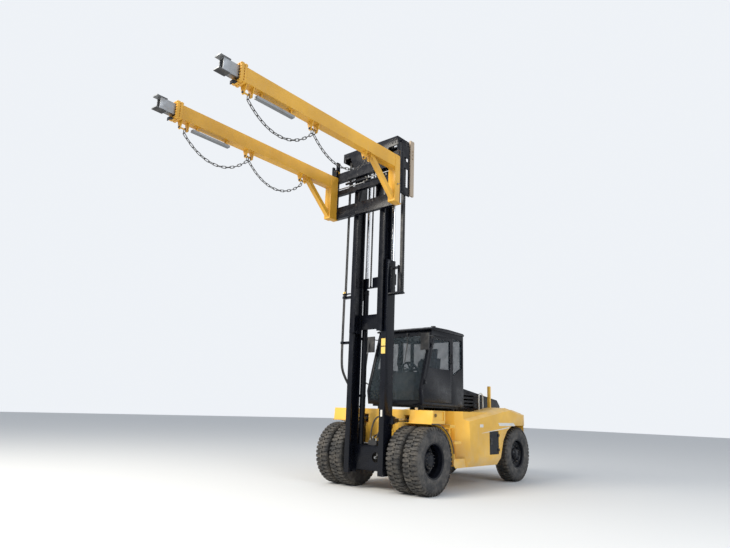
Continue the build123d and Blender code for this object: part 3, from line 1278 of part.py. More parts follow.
def upper_hoses():
    """The two tight hoses that come down from the pulley under the crosshead."""
    x = (HOSE_X - 18, HOSE_X + 18)
    y = (HOSE_Y[0] - 20, HOSE_Y[1] + 20)
    return fused(hose_pair(HOSE_X, HOSE_UPPER_Z) + [block(x, y, (HOSE_UPPER_Z[0], HOSE_UPPER_Z[0] + 50))])


def lower_hoses():
    """Their lower run, in the clamps of the outer mast."""
    clamps = []
    for z in (HOSE_LOWER_Z[0], HOSE_CLAMP_Z):
        y = (HOSE_Y[0] - 22, -OUTER_WEB_Y - SEAT)
        clamps.append(block((OUTER_RAIL_X[1] - 60, HOSE_LOWER_X - HOSE_R - 1), y, (z, z + 50)))
        clamps.append(block((HOSE_LOWER_X - 18, HOSE_LOWER_X + 18), (y[0], HOSE_Y[1] + 22), (z, z + 50)))
        clamps.append(block((OUTER_RAIL_X[1] - 60, HOSE_LOWER_X), (y[0], y[0] + 12), (z, z + 50)))
    return fused(hose_pair(HOSE_LOWER_X, HOSE_LOWER_Z) + clamps)


# Tilt cylinders


def tilt_axis(distance):
    """A point on the cylinder's centre line, measured from its tail pin."""
    dx = TILT_MAST[0] - TILT_CHASSIS[0]
    dz = TILT_MAST[1] - TILT_CHASSIS[1]
    length = (dx**2 + dz**2) ** 0.5
    return (TILT_CHASSIS[0] + dx / length * distance, TILT_Y, TILT_CHASSIS[1] + dz / length * distance)


def tilt_length():
    return ((TILT_MAST[0] - TILT_CHASSIS[0]) ** 2 + (TILT_MAST[1] - TILT_CHASSIS[1]) ** 2) ** 0.5


def tilt_barrels():
    y = (TILT_Y - TILT_EYE_W / 2, TILT_Y + TILT_EYE_W / 2)
    barrel = bar(tilt_axis(70), tilt_axis(TILT_BARREL_LENGTH), TILT_BARREL_R, 16)
    eye = disc_y(TILT_CHASSIS[0], y, TILT_CHASSIS[1], TILT_EYE_R, 12) + bar(tilt_axis(20), tilt_axis(80), 24, 8)
    tail = eye - disc_y(TILT_CHASSIS[0], (y[0] - 5, y[1] + 5), TILT_CHASSIS[1], TILT_PIN_R + RUN)
    bore = bar(tilt_axis(160), tilt_axis(TILT_BARREL_LENGTH + 5), TILT_ROD_R + RUN, 12)
    return pair(barrel + tail - bore)


def tilt_rods():
    y = (TILT_Y - TILT_EYE_W / 2, TILT_Y + TILT_EYE_W / 2)
    length = tilt_length()
    rod = bar(tilt_axis(length - 760), tilt_axis(length - TILT_EYE_R + 8), TILT_ROD_R, 12)
    eye = disc_y(TILT_MAST[0], y, TILT_MAST[1], TILT_EYE_R + 12, 16)
    return pair(rod + eye - disc_y(TILT_MAST[0], (y[0] - 5, y[1] + 5), TILT_MAST[1], TILT_EYE_HOLE_R, 12))


# Carriage


def carriage():
    """Cross beams between two end plates, with the roller plates that run inside the mast."""
    frame = pair(block(CARRIAGE_X, (CARRIAGE_Y - END_PLATE, CARRIAGE_Y), END_PLATE_Z))
    for z in BEAMS:
        frame = frame + block(CARRIAGE_X, (-CARRIAGE_Y + 5, CARRIAGE_Y - 5), z)
    plate = block(ROLLER_PLATE_X, ROLLER_PLATE_Y, ROLLER_PLATE_Z)
    for z in ROLLERS_Z:
        plate = plate + disc_y(ROLLER_X, (ROLLER_PLATE_Y[1] - 1, INNER_WEB_Y[0] - SEAT), z, ROLLER_R, 16)
    x = CHAIN_PULLEY_X + chain_reach()
    anchor_y = (CHAIN_PULLEY_Y - 30, ROLLER_PLATE_Y[0] + 1)
    anchor = block((x - 20, x + 40), anchor_y, (ANCHOR_Z, ANCHOR_Z + ANCHOR_H - SEAT))
    return frame + pair(plate + anchor) + side_bracket() + positioners()


def side_bracket():
    """The small hose bracket beyond the carriage's right end."""
    x = (CARRIAGE_X[0] + 10, CARRIAGE_X[0] + 70)
    z = SIDE_BRACKET_Z
    arm_part = block(x, (-CARRIAGE_Y - 130, -CARRIAGE_Y + 1), (z + 60, z + 100))
    return arm_part + block(x, (-CARRIAGE_Y - 150, -CARRIAGE_Y - 110), (z, z + 180))


def positioners():
    """The barrels of the two cylinders that slide the arms along the carriage, on their feet."""
    result = Part()
    for z, hand in ((POSITIONER_UPPER_Z, 1), (POSITIONER_LOWER_Z, -1)):
        tail = (POSITIONER_X, -hand * POSITIONER_TAIL_Y, z)
        mouth = (POSITIONER_X, hand * POSITIONER_MOUTH_Y, z)
        start = (POSITIONER_X, -hand * (POSITIONER_TAIL_Y - 30), z)
        end = (POSITIONER_X, hand * (POSITIONER_MOUTH_Y + 5), z)
        result = result + bar(tail, mouth, POSITIONER_R, 10) - bar(start, end, POSITIONER_ROD_R + RUN, 10)
    for y in POSITIONER_FOOT_Y:
        foot = block((POSITIONER_X - 50, POSITIONER_X - 18), (y - 12, y + 12), (BEAMS[1][1] - 5, POSITIONER_UPPER_Z + 40))
        result = result + pair(foot)
    return result


# Arms


def arm():
    """One arm: hooks, post, box beam, brace, chain ears and the flanged collar."""
    y = (ARM_Y - ARM_POST_W / 2, ARM_Y + ARM_POST_W / 2)
    beam_y = (ARM_Y - BEAM_W / 2, ARM_Y + BEAM_W / 2)
    low = ARM_TOP_Z - BEAM_H
    post = block(ARM_POST_X, y, (ARM_POST_Z, ARM_TOP_Z))
    beam = block((ARM_POST_X[1] - 5, BEAM_END_X), beam_y, (low, ARM_TOP_Z))
    strip = block((ARM_POST_X[1] - 5, BRACE_TOP_X + 60), y, (low - 16, low + 1))
    bore_y = (beam_y[0] + BEAM_WALL, beam_y[1] - BEAM_WALL)
    bore = block((TUBE_BORE_START_X, COLLAR_X[1] + 5), bore_y, (low + BEAM_WALL, ARM_TOP_Z - BEAM_WALL))
    solid = post + arm_hooks(y) + beam + strip + collar(beam_y, low) - bore + collar_liner(beam_y, low) - mouth()
    for x in EARS_X:
        solid = solid + ear_pair(x)
    return solid + brace(low)


def arm_hooks(y):
    """The plate behind the post, hooked over the carriage's top beam and under its lowest."""
    plate_x = (CARRIAGE_X[1] + SEAT, ARM_POST_X[0] + 5)
    hook_x = (CARRIAGE_X[0] + 45, plate_x[1])
    plate_y = (y[0], y[1] - 40)
    hook_y = (y[0], CARRIAGE_Y - END_PLATE - MOVE)
    plate = block(plate_x, plate_y, (ARM_POST_Z, ARM_HOOK_Z))
    top_hook = block(hook_x, hook_y, (BEAMS[2][1] + SEAT, ARM_HOOK_Z))
    low_hook = block(hook_x, plate_y, (ARM_POST_Z, BEAMS[0][0] - SEAT))
    return plate + top_hook + low_hook


def collar(beam_y, low):
    """The grooved flange round the beam's mouth, with a stay under it."""
    wide = (beam_y[0] - COLLAR_OVER, beam_y[1] + COLLAR_OVER)
    ring = block(COLLAR_X, wide, (low - COLLAR_OVER, ARM_TOP_Z + COLLAR_OVER))
    groove_x = (COLLAR_X[0] + COLLAR_GROOVE[0], COLLAR_X[0] + COLLAR_GROOVE[1])
    inside = block(groove_x, (beam_y[0] - 8, beam_y[1] + 8), (low - 8, ARM_TOP_Z + 8))
    groove = block(groove_x, (wide[0] - 5, wide[1] + 5), (low - COLLAR_OVER - 5, ARM_TOP_Z + COLLAR_OVER + 5)) - inside
    under = low - COLLAR_OVER
    stay = block((COLLAR_X[1] - 40, COLLAR_X[1] + COLLAR_STAY[0]), (ARM_Y - 40, ARM_Y + 40), (under - 14, under + 1))
    end_x = COLLAR_X[1] + COLLAR_STAY[0]
    stay = stay + block((end_x - 14, end_x), (ARM_Y - 40, ARM_Y + 40), (under - COLLAR_STAY[1], under - 13))
    return ring - groove + stay


def mouth():
    """The recess in the collar that takes the tip pads when the tube is in."""
    middle_z = ARM_TOP_Z - BEAM_H / 2
    half_y = TUBE_W / 2 + TIP_PAD_OVER + MOVE
    half_z = TUBE_H / 2 + TIP_PAD_T + MOVE
    x = (TIP_PAD[0] - TUBE_STROKE_IN - MOVE, COLLAR_X[1] + 5)
    return block(x, (ARM_Y - half_y, ARM_Y + half_y), (middle_z - half_z, middle_z + half_z))


def collar_liner(beam_y, low):
    """Wear blocks at the mouth that carry the inner tube."""
    middle_z = ARM_TOP_Z - BEAM_H / 2
    x = (COLLAR_X[0] - 60, COLLAR_X[1])
    block_y = (ARM_Y - TUBE_W / 2, ARM_Y + TUBE_W / 2)
    under = block(x, block_y, (low + BEAM_WALL - 1, middle_z - TUBE_H / 2 - SEAT))
    over = block(x, block_y, (middle_z + TUBE_H / 2 + SEAT, ARM_TOP_Z - BEAM_WALL + 1))
    return under + over


def ear_pair(x):
    """Two tapered ears under the beam with a pin between them."""
    low = ARM_TOP_Z - BEAM_H
    half = EAR_TOP_W / 2
    ears = Part()
    for start in (x - EAR_GAP - EAR_T, x + EAR_GAP):
        outline = [(ARM_Y - half, low + 1), (ARM_Y + half, low + 1), (ARM_Y + EAR_TIP_R, EAR_PIN_Z - 10)]
        outline = outline + [(ARM_Y + EAR_TIP_R * 0.55, EAR_PIN_Z - EAR_TIP_R), (ARM_Y - EAR_TIP_R * 0.55, EAR_PIN_Z - EAR_TIP_R)]
        outline = outline + [(ARM_Y - EAR_TIP_R, EAR_PIN_Z - 10)]
        ears = ears + prism_x(outline, (start, start + EAR_T))
    over = EAR_GAP + EAR_T + 8
    return ears + bar((x - over, ARM_Y, EAR_PIN_Z), (x + over, ARM_Y, EAR_PIN_Z), EAR_PIN_R, 12)


def brace(low):
    """The slanted tube from the post's foot to the beam."""
    fx, fz = BRACE_FOOT
    line = [(fx - 5, fz - BRACE_T), (fx - 5, fz + BRACE_T * 0.6), (BRACE_TOP_X - BRACE_T, low - 10), (BRACE_TOP_X + 50, low - 10)]
    return prism_y(line, (ARM_Y - BRACE_W / 2, ARM_Y + BRACE_W / 2))


def inner_tube():
    """The steel tube that slides out of the beam, with wear pads at its tail and its tip."""
    z = (ARM_TOP_Z - BEAM_H / 2 - TUBE_H / 2, ARM_TOP_Z - BEAM_H / 2 + TUBE_H / 2)
    y = (ARM_Y - TUBE_W / 2, ARM_Y + TUBE_W / 2)
    x = (TUBE_TAIL_X, TUBE_END_X)
    tube = block(x, y, z) - block((x[0] - 5, x[1] + 5), (y[0] + TUBE_WALL, y[1] - TUBE_WALL), (z[0] + TUBE_WALL, z[1] - TUBE_WALL))
    low = ARM_TOP_Z - BEAM_H + BEAM_WALL + SEAT
    high = ARM_TOP_Z - BEAM_WALL - SEAT
    pad = (x[0], x[0] + TUBE_TAIL_PAD)
    tube = tube + block(pad, y, (low, z[0] + 1)) + block(pad, y, (z[1] - 1, high))
    wide = (y[0] - TIP_PAD_OVER, y[1] + TIP_PAD_OVER)
    top = block(TIP_PAD, wide, (z[1] - 1, z[1] + TIP_PAD_T))
    bottom = block(TIP_PAD, wide, (z[0] - TIP_PAD_T, z[0] + 1))
    return tube + top + bottom


def hanger_bar():
    """The pale rail that hangs in two small lugs under the beam."""
    rail_bar = block(HANGER_X, (ARM_Y - HANGER_W / 2, ARM_Y + HANGER_W / 2), HANGER_Z)
    low = ARM_TOP_Z - BEAM_H
    for x in HANGER_LUGS_X:
        rail_bar = rail_bar + block((x - 10, x + 10), (ARM_Y - 30, ARM_Y + 30), (HANGER_Z[1] - 1, low - SEAT))
    return rail_bar


def positioner_rod(z):
    """The bright rod and the lug by which a positioner cylinder pushes its arm."""
    rod = bar((POSITIONER_X, -30, z), (POSITIONER_X, ARM_Y - 60, z), POSITIONER_ROD_R, 10)
    lug_y = (ARM_Y - ARM_POST_W / 2 + 10, ARM_Y - ARM_POST_W / 2 + 40)
    return rod + block((POSITIONER_X - 12, CARRIAGE_X[1]), lug_y, (z - 30, z + 30))


def arm_fittings_left():
    return hanger_bar() + positioner_rod(POSITIONER_UPPER_Z)


def arm_fittings_right():
    return mirrored(hanger_bar() + positioner_rod(POSITIONER_LOWER_Z))


# Slung chains


def catenary(span, sag):
    """The parameter a of y = a cosh(x / a) for a span and a sag."""
    low, high = span / 20, span * 20
    for _ in range(80):
        middle = (low + high) / 2
        if middle * (cosh(span / 2 / middle) - 1) > sag:
            low = middle
        else:
            high = middle
    return (low + high) / 2


def link(turned, pitch):
    """One flat-sided link, along X, standing on edge or lying flat."""
    long = pitch + 2 * LINK_WIRE + LINK_PLAY
    ring = Box(long, LINK_W, LINK_WIRE) - Box(long - 2 * LINK_WIRE, LINK_W - 2 * LINK_WIRE, LINK_WIRE + 2)
    return Rot(90, 0, 0) * ring if turned else ring


def shackle(x):
    """The square ring that hangs on an ear's pin."""
    top = EAR_PIN_Z + EAR_PIN_R + SEAT
    ring = block((x - LINK_WIRE / 2, x + LINK_WIRE / 2), (ARM_Y - SHACKLE_W / 2, ARM_Y + SHACKLE_W / 2),
                 (top - SHACKLE_DROP, top + LINK_WIRE))
    inner = SHACKLE_W / 2 - LINK_WIRE
    return ring - block((x - 20, x + 20), (ARM_Y - inner, ARM_Y + inner), (top - SHACKLE_DROP + LINK_WIRE, top))


def slung_chain(x_front, x_rear):
    """Links along the curve that a slack chain takes between two shackles."""
    span = x_front - x_rear + LINK_WIRE + LINK_PLAY
    a = catenary(span, CHAIN_SAG)
    length = 2 * a * sinh(span / 2 / a)
    count = round(length / LINK_PITCH / 2 + 0.5) * 2 - 1
    pitch = length / count
    middle = (x_front + x_rear) / 2
    top = EAR_PIN_Z + EAR_PIN_R + SEAT - SHACKLE_DROP + LINK_WIRE / 2
    links = []
    for number in range(count):
        s = (number + 0.5) * pitch - length / 2
        x = a * asinh(s / a)
        z = top - CHAIN_SAG + a * (cosh(x / a) - 1)
        slope = degrees(atan2(sinh(x / a), 1))
        links.append(Location((middle + x, ARM_Y, z), (0, -slope, 0)) * link(number % 2 == 0, pitch))
    return links


def arm_chains():
    """The slung chains of one arm, each between the shackles of two neighbouring ears."""
    links = []
    for front, rear in zip(EARS_X[:-1], EARS_X[1:]):
        ends = (front - SHACKLE_OFF, rear + SHACKLE_OFF)
        links = links + [shackle(x) for x in ends] + slung_chain(*ends)
    return Compound([solid for piece in links for solid in piece.solids()])


# Lamps, mirrors and rails


def lamps_and_mirrors():
    """The roof beacon, the rear work lamp and a mirror ahead of each front post."""
    z = CAB_ROOF_Z + SEAT
    beacon = bar((BEACON_X, 0, z), (BEACON_X, 0, z + 30), BEACON_R + 12, 12)
    beacon = beacon + bar((BEACON_X, 0, z + 10), (BEACON_X, 0, z + BEACON_H), BEACON_R, 12)
    return beacon + pair(mirror_on_stay())


def post_front_x(z):
    """Where the front face of the raked front post stands at a height."""
    return CAB_NOSE[0] - (z - CAB_NOSE[1]) * POST_SLOPE


def mirror_on_stay():
    z = MIRROR_Z[1] - 45
    x = post_front_x(z)
    y = CAB_Y + 62
    foot = block((x - 50, x - 12), (CAB_Y + SEAT, CAB_Y + 12), (z - 35, z + 35))
    stay = bar((x - 30, CAB_Y + 8, z), (x - 30, y, z), 10, 8) + bar((x - 35, y - 5, z), (MIRROR_X, y - 5, z), 10, 8)
    return foot + stay + block((MIRROR_X - 14, MIRROR_X + 14), MIRROR_Y, MIRROR_Z)


def deck_rails():
    """The yellow post and the pale grab rail beside the hood."""
    post = block((-3200, -3140), (590, 650), (DECK_Z - 5, RAIL_POST_Z))
    return post + bar((-2900, 600, DECK_Z - 5), (-2900, 600, GRAB_POST_Z), 16, 10)


NODES = {
    "frame": chassis_frame,
    "counterweight": counterweight,
    "side_body_left": side_body_left,
    "side_body_right": lambda: mirrored(side_body()),
    "front_fenders": lambda: pair(front_fender()),
    "steps": lambda: pair(steps()),
    "axles": lambda: drive_axle() + steer_axle(),
    "engine": engine,
    "hood": hood,
    "box_door": box_door,
    "cab_frame": cab_frame,
    "cab_roof": cab_roof,
    "cab_floor": cab_floor,
    "cab_glass": cab_glass,
    "cab_door_left": cab_door,
    "cab_door_right": lambda: mirrored(cab_door()),
    "door_glass_left": cab_door_glass,
    "door_glass_right": lambda: mirrored(cab_door_glass()),
    "seat": seat,
    "controls": controls,
    "lamps_and_mirrors": lamps_and_mirrors,
    "drive_tyres_left": drive_tyres,
    "drive_tyres_right": lambda: mirrored(drive_tyres()),
    "drive_rims_left": drive_rims,
    "drive_rims_right": lambda: mirrored(drive_rims()),
    "steer_tyre_left": steer_tyre,
    "steer_tyre_right": lambda: mirrored(steer_tyre()),
    "steer_rim_left": steer_rim,
    "steer_rim_right": lambda: mirrored(steer_rim()),
    "knuckle_left": knuckle,
    "knuckle_right": lambda: mirrored(knuckle()),
    "outer_mast": outer_mast,
    "lift_barrels": lift_barrels,
    "inner_mast": inner_mast,
    "head_pulleys": head_pulleys,
    "lift_rods": lift_rods,
    "rear_chains": rear_chains,
    "front_chains": front_chains,
    "hose_strip": hose_strip,
    "energy_chain": energy_chain,
    "upper_hoses": upper_hoses,
    "lower_hoses": lower_hoses,
    "tilt_barrels": tilt_barrels,
    "tilt_rods": tilt_rods,
    "carriage": carriage,
    "arm_left": arm,
    "arm_right": lambda: mirrored(arm()),
    "tube_left": inner_tube,
    "tube_right": lambda: mirrored(inner_tube()),
    "arm_fittings_left": arm_fittings_left,
    "arm_fittings_right": arm_fittings_right,
    "chains_left": arm_chains,
    "chains_right": lambda: mirrored(arm_chains()),
}


def main():
    os.makedirs("parts", exist_ok=True)
    for name, make in NODES.items():
        shape = Pos(-MIDDLE_X, 0, 0) * make()
        export_step(shape, f"parts/{name}.step")
        print(name, len(shape.solids()), "solids")


main()
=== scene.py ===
"""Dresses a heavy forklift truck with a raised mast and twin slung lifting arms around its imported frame."""
import json
import logging
from dataclasses import dataclass, field
from enum import Enum
from math import asinh, atan2, cos, cosh, pi, radians, sin, sinh

import bmesh
import bpy
from mathutils import Euler, Matrix, Vector

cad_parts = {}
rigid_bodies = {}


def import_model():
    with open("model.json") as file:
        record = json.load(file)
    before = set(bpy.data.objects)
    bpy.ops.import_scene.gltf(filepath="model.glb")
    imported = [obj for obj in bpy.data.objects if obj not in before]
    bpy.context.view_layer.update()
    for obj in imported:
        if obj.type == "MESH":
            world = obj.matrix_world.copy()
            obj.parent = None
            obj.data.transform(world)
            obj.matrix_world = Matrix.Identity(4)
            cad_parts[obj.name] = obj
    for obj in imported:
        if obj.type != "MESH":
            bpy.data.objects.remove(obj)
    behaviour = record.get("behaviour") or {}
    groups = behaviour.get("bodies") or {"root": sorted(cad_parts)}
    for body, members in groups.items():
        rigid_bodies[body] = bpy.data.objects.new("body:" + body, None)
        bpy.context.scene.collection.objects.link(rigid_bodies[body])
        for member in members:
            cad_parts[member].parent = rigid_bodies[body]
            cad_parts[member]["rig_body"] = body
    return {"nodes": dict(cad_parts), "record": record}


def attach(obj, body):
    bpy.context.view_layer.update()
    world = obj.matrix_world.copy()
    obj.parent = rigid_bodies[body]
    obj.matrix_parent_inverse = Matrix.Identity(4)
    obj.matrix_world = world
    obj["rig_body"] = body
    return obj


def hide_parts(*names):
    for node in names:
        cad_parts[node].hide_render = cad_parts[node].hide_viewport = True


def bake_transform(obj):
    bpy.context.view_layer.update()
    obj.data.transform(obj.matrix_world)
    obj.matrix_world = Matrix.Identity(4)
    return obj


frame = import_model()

LOG = logging.getLogger("forklift")
MIDDLE_X = 0.1825    # the drawing's zero, over the drive axle, lies this far ahead of the frame's
Point = tuple[float, float, float]
Ring = list[bmesh.types.BMVert]
Span = tuple[float, float]
Stand = tuple[Point, Point]


def at(x: float, y: float, z: float) -> Vector:
    """A point given from the drive axle's middle, in the frame's metres.

    Args:
        x: Metres forward of the drive axle.
        y: Metres to the driver's left.
        z: Metres above the ground.

    Returns:
        The point in the row frame.
    """
    return Vector((x - MIDDLE_X, y, z))


class Slot(Enum):
    """The record's material slots."""

    YELLOW = "yellow"
    BLACK = "black"
    OCHRE = "ochre"
    PALE_STEEL = "pale_steel"
    CHAIN_STEEL = "chain_steel"
    ROD_CHROME = "rod_chrome"
    TYRE = "tyre"
    RUBBER = "rubber"
    PLASTIC = "plastic"
    BEIGE = "beige"
    FABRIC = "fabric"
    GLASS = "glass"
    CAST = "cast"


Colour = tuple[float, float, float]


class Graph:
    """One material's node tree, with short calls for the nodes that the finishes share."""

    def __init__(self, name: str) -> None:
        """Starts an empty material with a Principled shader.

        Args:
            name: The material's name.
        """
        self.material = bpy.data.materials.new(name)
        self.material.use_nodes = True
        self.nodes = self.material.node_tree.nodes
        self.links = self.material.node_tree.links
        self.nodes.clear()
        self.output = self.nodes.new("ShaderNodeOutputMaterial")
        self.shader = self.nodes.new("ShaderNodeBsdfPrincipled")
        self.links.new(self.shader.outputs["BSDF"], self.output.inputs["Surface"])
        self.place = self.nodes.new("ShaderNodeTexCoord").outputs["Object"]

    def set(self, **values: object) -> None:
        """Sets constant values on the shader's own sockets.

        Args:
            values: Socket names with underscores for spaces.
        """
        for name, value in values.items():
            socket = self.shader.inputs[name.replace("_", " ")]
            socket.default_value = (*value, 1.0) if isinstance(value, tuple) and len(value) == 3 else value

    def feed(self, source: bpy.types.NodeSocket, name: str) -> None:
        """Links a value into the shader.

        Args:
            source: The output to link.
            name: The shader input's name.
        """
        self.links.new(source, self.shader.inputs[name])

    def stretched(self, scale: Point) -> bpy.types.NodeSocket:
        """Object coordinates scaled apart on each axis.

        Args:
            scale: The factor on each axis.

        Returns:
            The coordinates.
        """
        node = self.nodes.new("ShaderNodeMapping")
        node.inputs["Scale"].default_value = scale
        self.links.new(self.place, node.inputs["Vector"])
        return node.outputs["Vector"]

    def noise(self, scale: float, detail: float = 4.0, rough: float = 0.55,
              vector: bpy.types.NodeSocket | None = None) -> bpy.types.NodeSocket:
        """A noise value.

        Args:
            scale: Cells to the metre.
            detail: Octaves.
            rough: Strength of the finer octaves.
            vector: Coordinates to use in place of the plain ones.

        Returns:
            The noise's value output.
        """
        node = self.nodes.new("ShaderNodeTexNoise")
        node.inputs["Scale"].default_value = scale
        node.inputs["Detail"].default_value = detail
        node.inputs["Roughness"].default_value = rough
        self.links.new(vector or self.place, node.inputs["Vector"])
        return node.outputs["Fac"]

    def cells(self, scale: float) -> bpy.types.NodeSocket:
        """Distance to the nearest point of a Voronoi pattern.

        Args:
            scale: Cells to the metre.

        Returns:
            The distance.
        """
        node = self.nodes.new("ShaderNodeTexVoronoi")
        node.inputs["Scale"].default_value = scale
        self.links.new(self.place, node.inputs["Vector"])
        return node.outputs["Distance"]

    def range(self, source: bpy.types.NodeSocket, low: float, high: float, to_low: float = 0.0,
              to_high: float = 1.0) -> bpy.types.NodeSocket:
        """Carries one range of a value onto another, smoothly and clamped.

        Args:
            source: The value.
            low: Start of the range read.
            high: End of the range read.
            to_low: What the start becomes.
            to_high: What the end becomes.

        Returns:
            The new value.
        """
        node = self.nodes.new("ShaderNodeMapRange")
        node.interpolation_type = "SMOOTHSTEP"
        for name, value in (("From Min", low), ("From Max", high), ("To Min", to_low), ("To Max", to_high)):
            node.inputs[name].default_value = value
        self.links.new(source, node.inputs["Value"])
        return node.outputs["Result"]

    def maths(self, operation: str, a: object, b: object) -> bpy.types.NodeSocket:
        """One step of arithmetic on sockets or numbers.

        Args:
            operation: The Math node's operation.
            a: The first value or socket.
            b: The second one.

        Returns:
            The result.
        """
        node = self.nodes.new("ShaderNodeMath")
        node.operation = operation
        for socket, value in zip(node.inputs, (a, b)):
            if isinstance(value, (int, float)):
                socket.default_value = value
            else:
                self.links.new(value, socket)
        return node.outputs[0]

    def mix(self, amount: object, a: object, b: object) -> bpy.types.NodeSocket:
        """Mixes two colours.

        Args:
            amount: A value socket or a number.
            a: Colour or socket at 0.
            b: Colour or socket at 1.

        Returns:
            The mixed colour.
        """
        node = self.nodes.new("ShaderNodeMix")
        node.data_type = "RGBA"
        for socket, value in ((node.inputs["Factor"], amount), (node.inputs[6], a), (node.inputs[7], b)):
            if isinstance(value, (int, float)):
                socket.default_value = value
            elif isinstance(value, tuple):
                socket.default_value = (*value, 1.0)
            else:
                self.links.new(value, socket)
        return node.outputs[2]

    def height(self) -> bpy.types.NodeSocket:
        """The height above the ground.

        Returns:
            The height in metres.
        """
        node = self.nodes.new("ShaderNodeSeparateXYZ")
        self.links.new(self.place, node.inputs["Vector"])
        return node.outputs["Z"]

    def facing_up(self) -> bpy.types.NodeSocket:
        """How far a surface faces the sky.

        Returns:
            1 where it lies level, -1 from below.
        """
        geometry = self.nodes.new("ShaderNodeNewGeometry")
        node = self.nodes.new("ShaderNodeSeparateXYZ")
        self.links.new(geometry.outputs["Normal"], node.inputs["Vector"])
        return node.outputs["Z"]

    def bump(self, height: bpy.types.NodeSocket, depth: float, strength: float = 1.0) -> None:
        """Feeds a height into the shader's normal.

        Args:
            height: The height value.
            depth: Metres between 0 and 1.
            strength: How much of it shows.
        """
        node = self.nodes.new("ShaderNodeBump")
        node.inputs["Distance"].default_value = depth
        node.inputs["Strength"].default_value = strength
        self.links.new(height, node.inputs["Height"])
        self.links.new(node.outputs["Normal"], self.shader.inputs["Normal"])


@dataclass(frozen=True)
class Paint:
    """Sprayed machine paint, paled where it faces up by settled dust and painted sky light, with faint orange
    peel and small chips.
    """

    name: str
    colour: Colour
    # dust and dust_amount also set the painted sky light on upward faces
    dust: Colour = (0.42, 0.38, 0.31)
    dust_amount: float = 0.35
    chips: float = 0.25
    chip_colour: Colour = (0.07, 0.06, 0.055)
    gloss: float = 0.36
    coat: float = 0.12
    sheen: float = 0.5

    def build(self) -> bpy.types.Material:
        """Makes the material.

        Returns:
            The material.
        """
        g = Graph(self.name)
        r, gr, b = self.colour
        worn = (r * 0.86, gr * 0.84, b * 0.82)
        bright = (min(1.0, r * 1.05), min(1.0, gr * 1.05), min(1.0, b * 1.06))
        base = g.mix(g.range(g.noise(1.3, 3.0), 0.35, 0.7), worn, bright)
        streaks = g.noise(3.0, 5.0, 0.6, g.stretched((6.0, 6.0, 0.7)))
        base = g.mix(g.range(streaks, 0.55, 0.8, 0.0, 0.22), base, self.dust)
        # Upward faces pale towards the dust colour: settled dust, together with painted sky light on the tops
        top_dust_and_sky_light = g.maths("MULTIPLY", g.range(g.facing_up(), 0.25, 0.95),
                          g.range(g.noise(9.0, 6.0), 0.3, 0.7))
        base = g.mix(g.maths("MULTIPLY", top_dust_and_sky_light, self.dust_amount), base, self.dust)
        low = g.maths("MULTIPLY", g.range(g.height(), 1.15, 0.3),
                      g.range(g.noise(5.0, 6.0, 0.65), 0.35, 0.65))
        base = g.mix(g.maths("MULTIPLY", low, self.dust_amount * 1.3), base, self.dust)
        spots = g.maths("MULTIPLY", g.range(g.noise(38.0, 5.0, 0.7), 0.68, 0.72),
                        g.range(g.noise(2.2, 2.0), 0.5, 0.62))
        base = g.mix(g.maths("MULTIPLY", spots, self.chips), base, self.chip_colour)
        g.feed(base, "Base Color")
        rough = g.range(g.noise(7.0, 5.0), 0.3, 0.75, self.gloss - 0.05, self.gloss + 0.16)
        g.feed(g.maths("ADD", rough, g.maths("MULTIPLY", top_dust_and_sky_light, 0.25)), "Roughness")
        g.set(Coat_Weight=self.coat, Coat_Roughness=0.25, Specular_IOR_Level=self.sheen)
        peel = g.maths("SUBTRACT", g.noise(260.0, 2.0), g.maths("MULTIPLY", spots, 1.5))
        g.bump(peel, 0.0006, 0.35)
        return g.material


@dataclass(frozen=True)
class Steel:
    """Bare or plated metal, drawn along one axis."""

    name: str
    colour: Colour
    rough: float = 0.32
    grain: Point = (4.0, 90.0, 90.0)
    stain: Colour = (0.20, 0.15, 0.10)
    stain_amount: float = 0.25
    metallic: float = 1.0

    def build(self) -> bpy.types.Material:
        """Makes the material.

        Returns:
            The material.
        """
        g = Graph(self.name)
        lines = g.noise(6.0, 4.0, 0.6, g.stretched(self.grain))
        r, gr, b = self.colour
        base = g.mix(g.range(lines, 0.3, 0.7), (r * 0.82, gr * 0.82, b * 0.82), self.colour)
        stains = g.range(g.noise(7.0, 6.0, 0.65), 0.52, 0.75, 0.0, self.stain_amount)
        g.feed(g.mix(stains, base, self.stain), "Base Color")
        g.feed(g.range(g.noise(14.0, 5.0), 0.3, 0.7, self.rough - 0.08, self.rough + 0.14), "Roughness")
        g.set(Metallic=self.metallic)
        g.bump(lines, 0.0004, 0.3)
        return g.material


@dataclass(frozen=True)
class Rubber:
    """Moulded rubber, greyed by dust."""

    name: str
    colour: Colour = (0.022, 0.022, 0.024)
    dust: Colour = (0.20, 0.18, 0.155)
    dust_amount: float = 0.5
    rough: float = 0.62
    grain: float = 420.0

    def build(self) -> bpy.types.Material:
        """Makes the material.

        Returns:
            The material.
        """
        g = Graph(self.name)
        cloud = g.range(g.noise(6.0, 7.0, 0.68), 0.36, 0.72)
        base = g.mix(g.maths("MULTIPLY", cloud, self.dust_amount), self.colour, self.dust)
        g.feed(base, "Base Color")
        g.feed(g.range(g.noise(20.0, 4.0), 0.3, 0.7, self.rough - 0.08, self.rough + 0.2), "Roughness")
        g.bump(g.noise(self.grain, 3.0, 0.6), 0.0008, 0.5)
        return g.material


@dataclass(frozen=True)
class Plastic:
    """Moulded plastic with a fine leather grain."""

    name: str
    colour: Colour
    rough: float = 0.48
    dust_amount: float = 0.2

    def build(self) -> bpy.types.Material:
        """Makes the material.

        Returns:
            The material.
        """
        g = Graph(self.name)
        dusty = g.maths("MULTIPLY", g.range(g.noise(8.0, 6.0), 0.4, 0.75), self.dust_amount)
        g.feed(g.mix(dusty, self.colour, (0.30, 0.28, 0.24)), "Base Color")
        g.feed(g.range(g.noise(30.0, 3.0), 0.3, 0.7, self.rough - 0.05, self.rough + 0.12), "Roughness")
        g.bump(g.cells(380.0), 0.0006, 0.3)
        return g.material


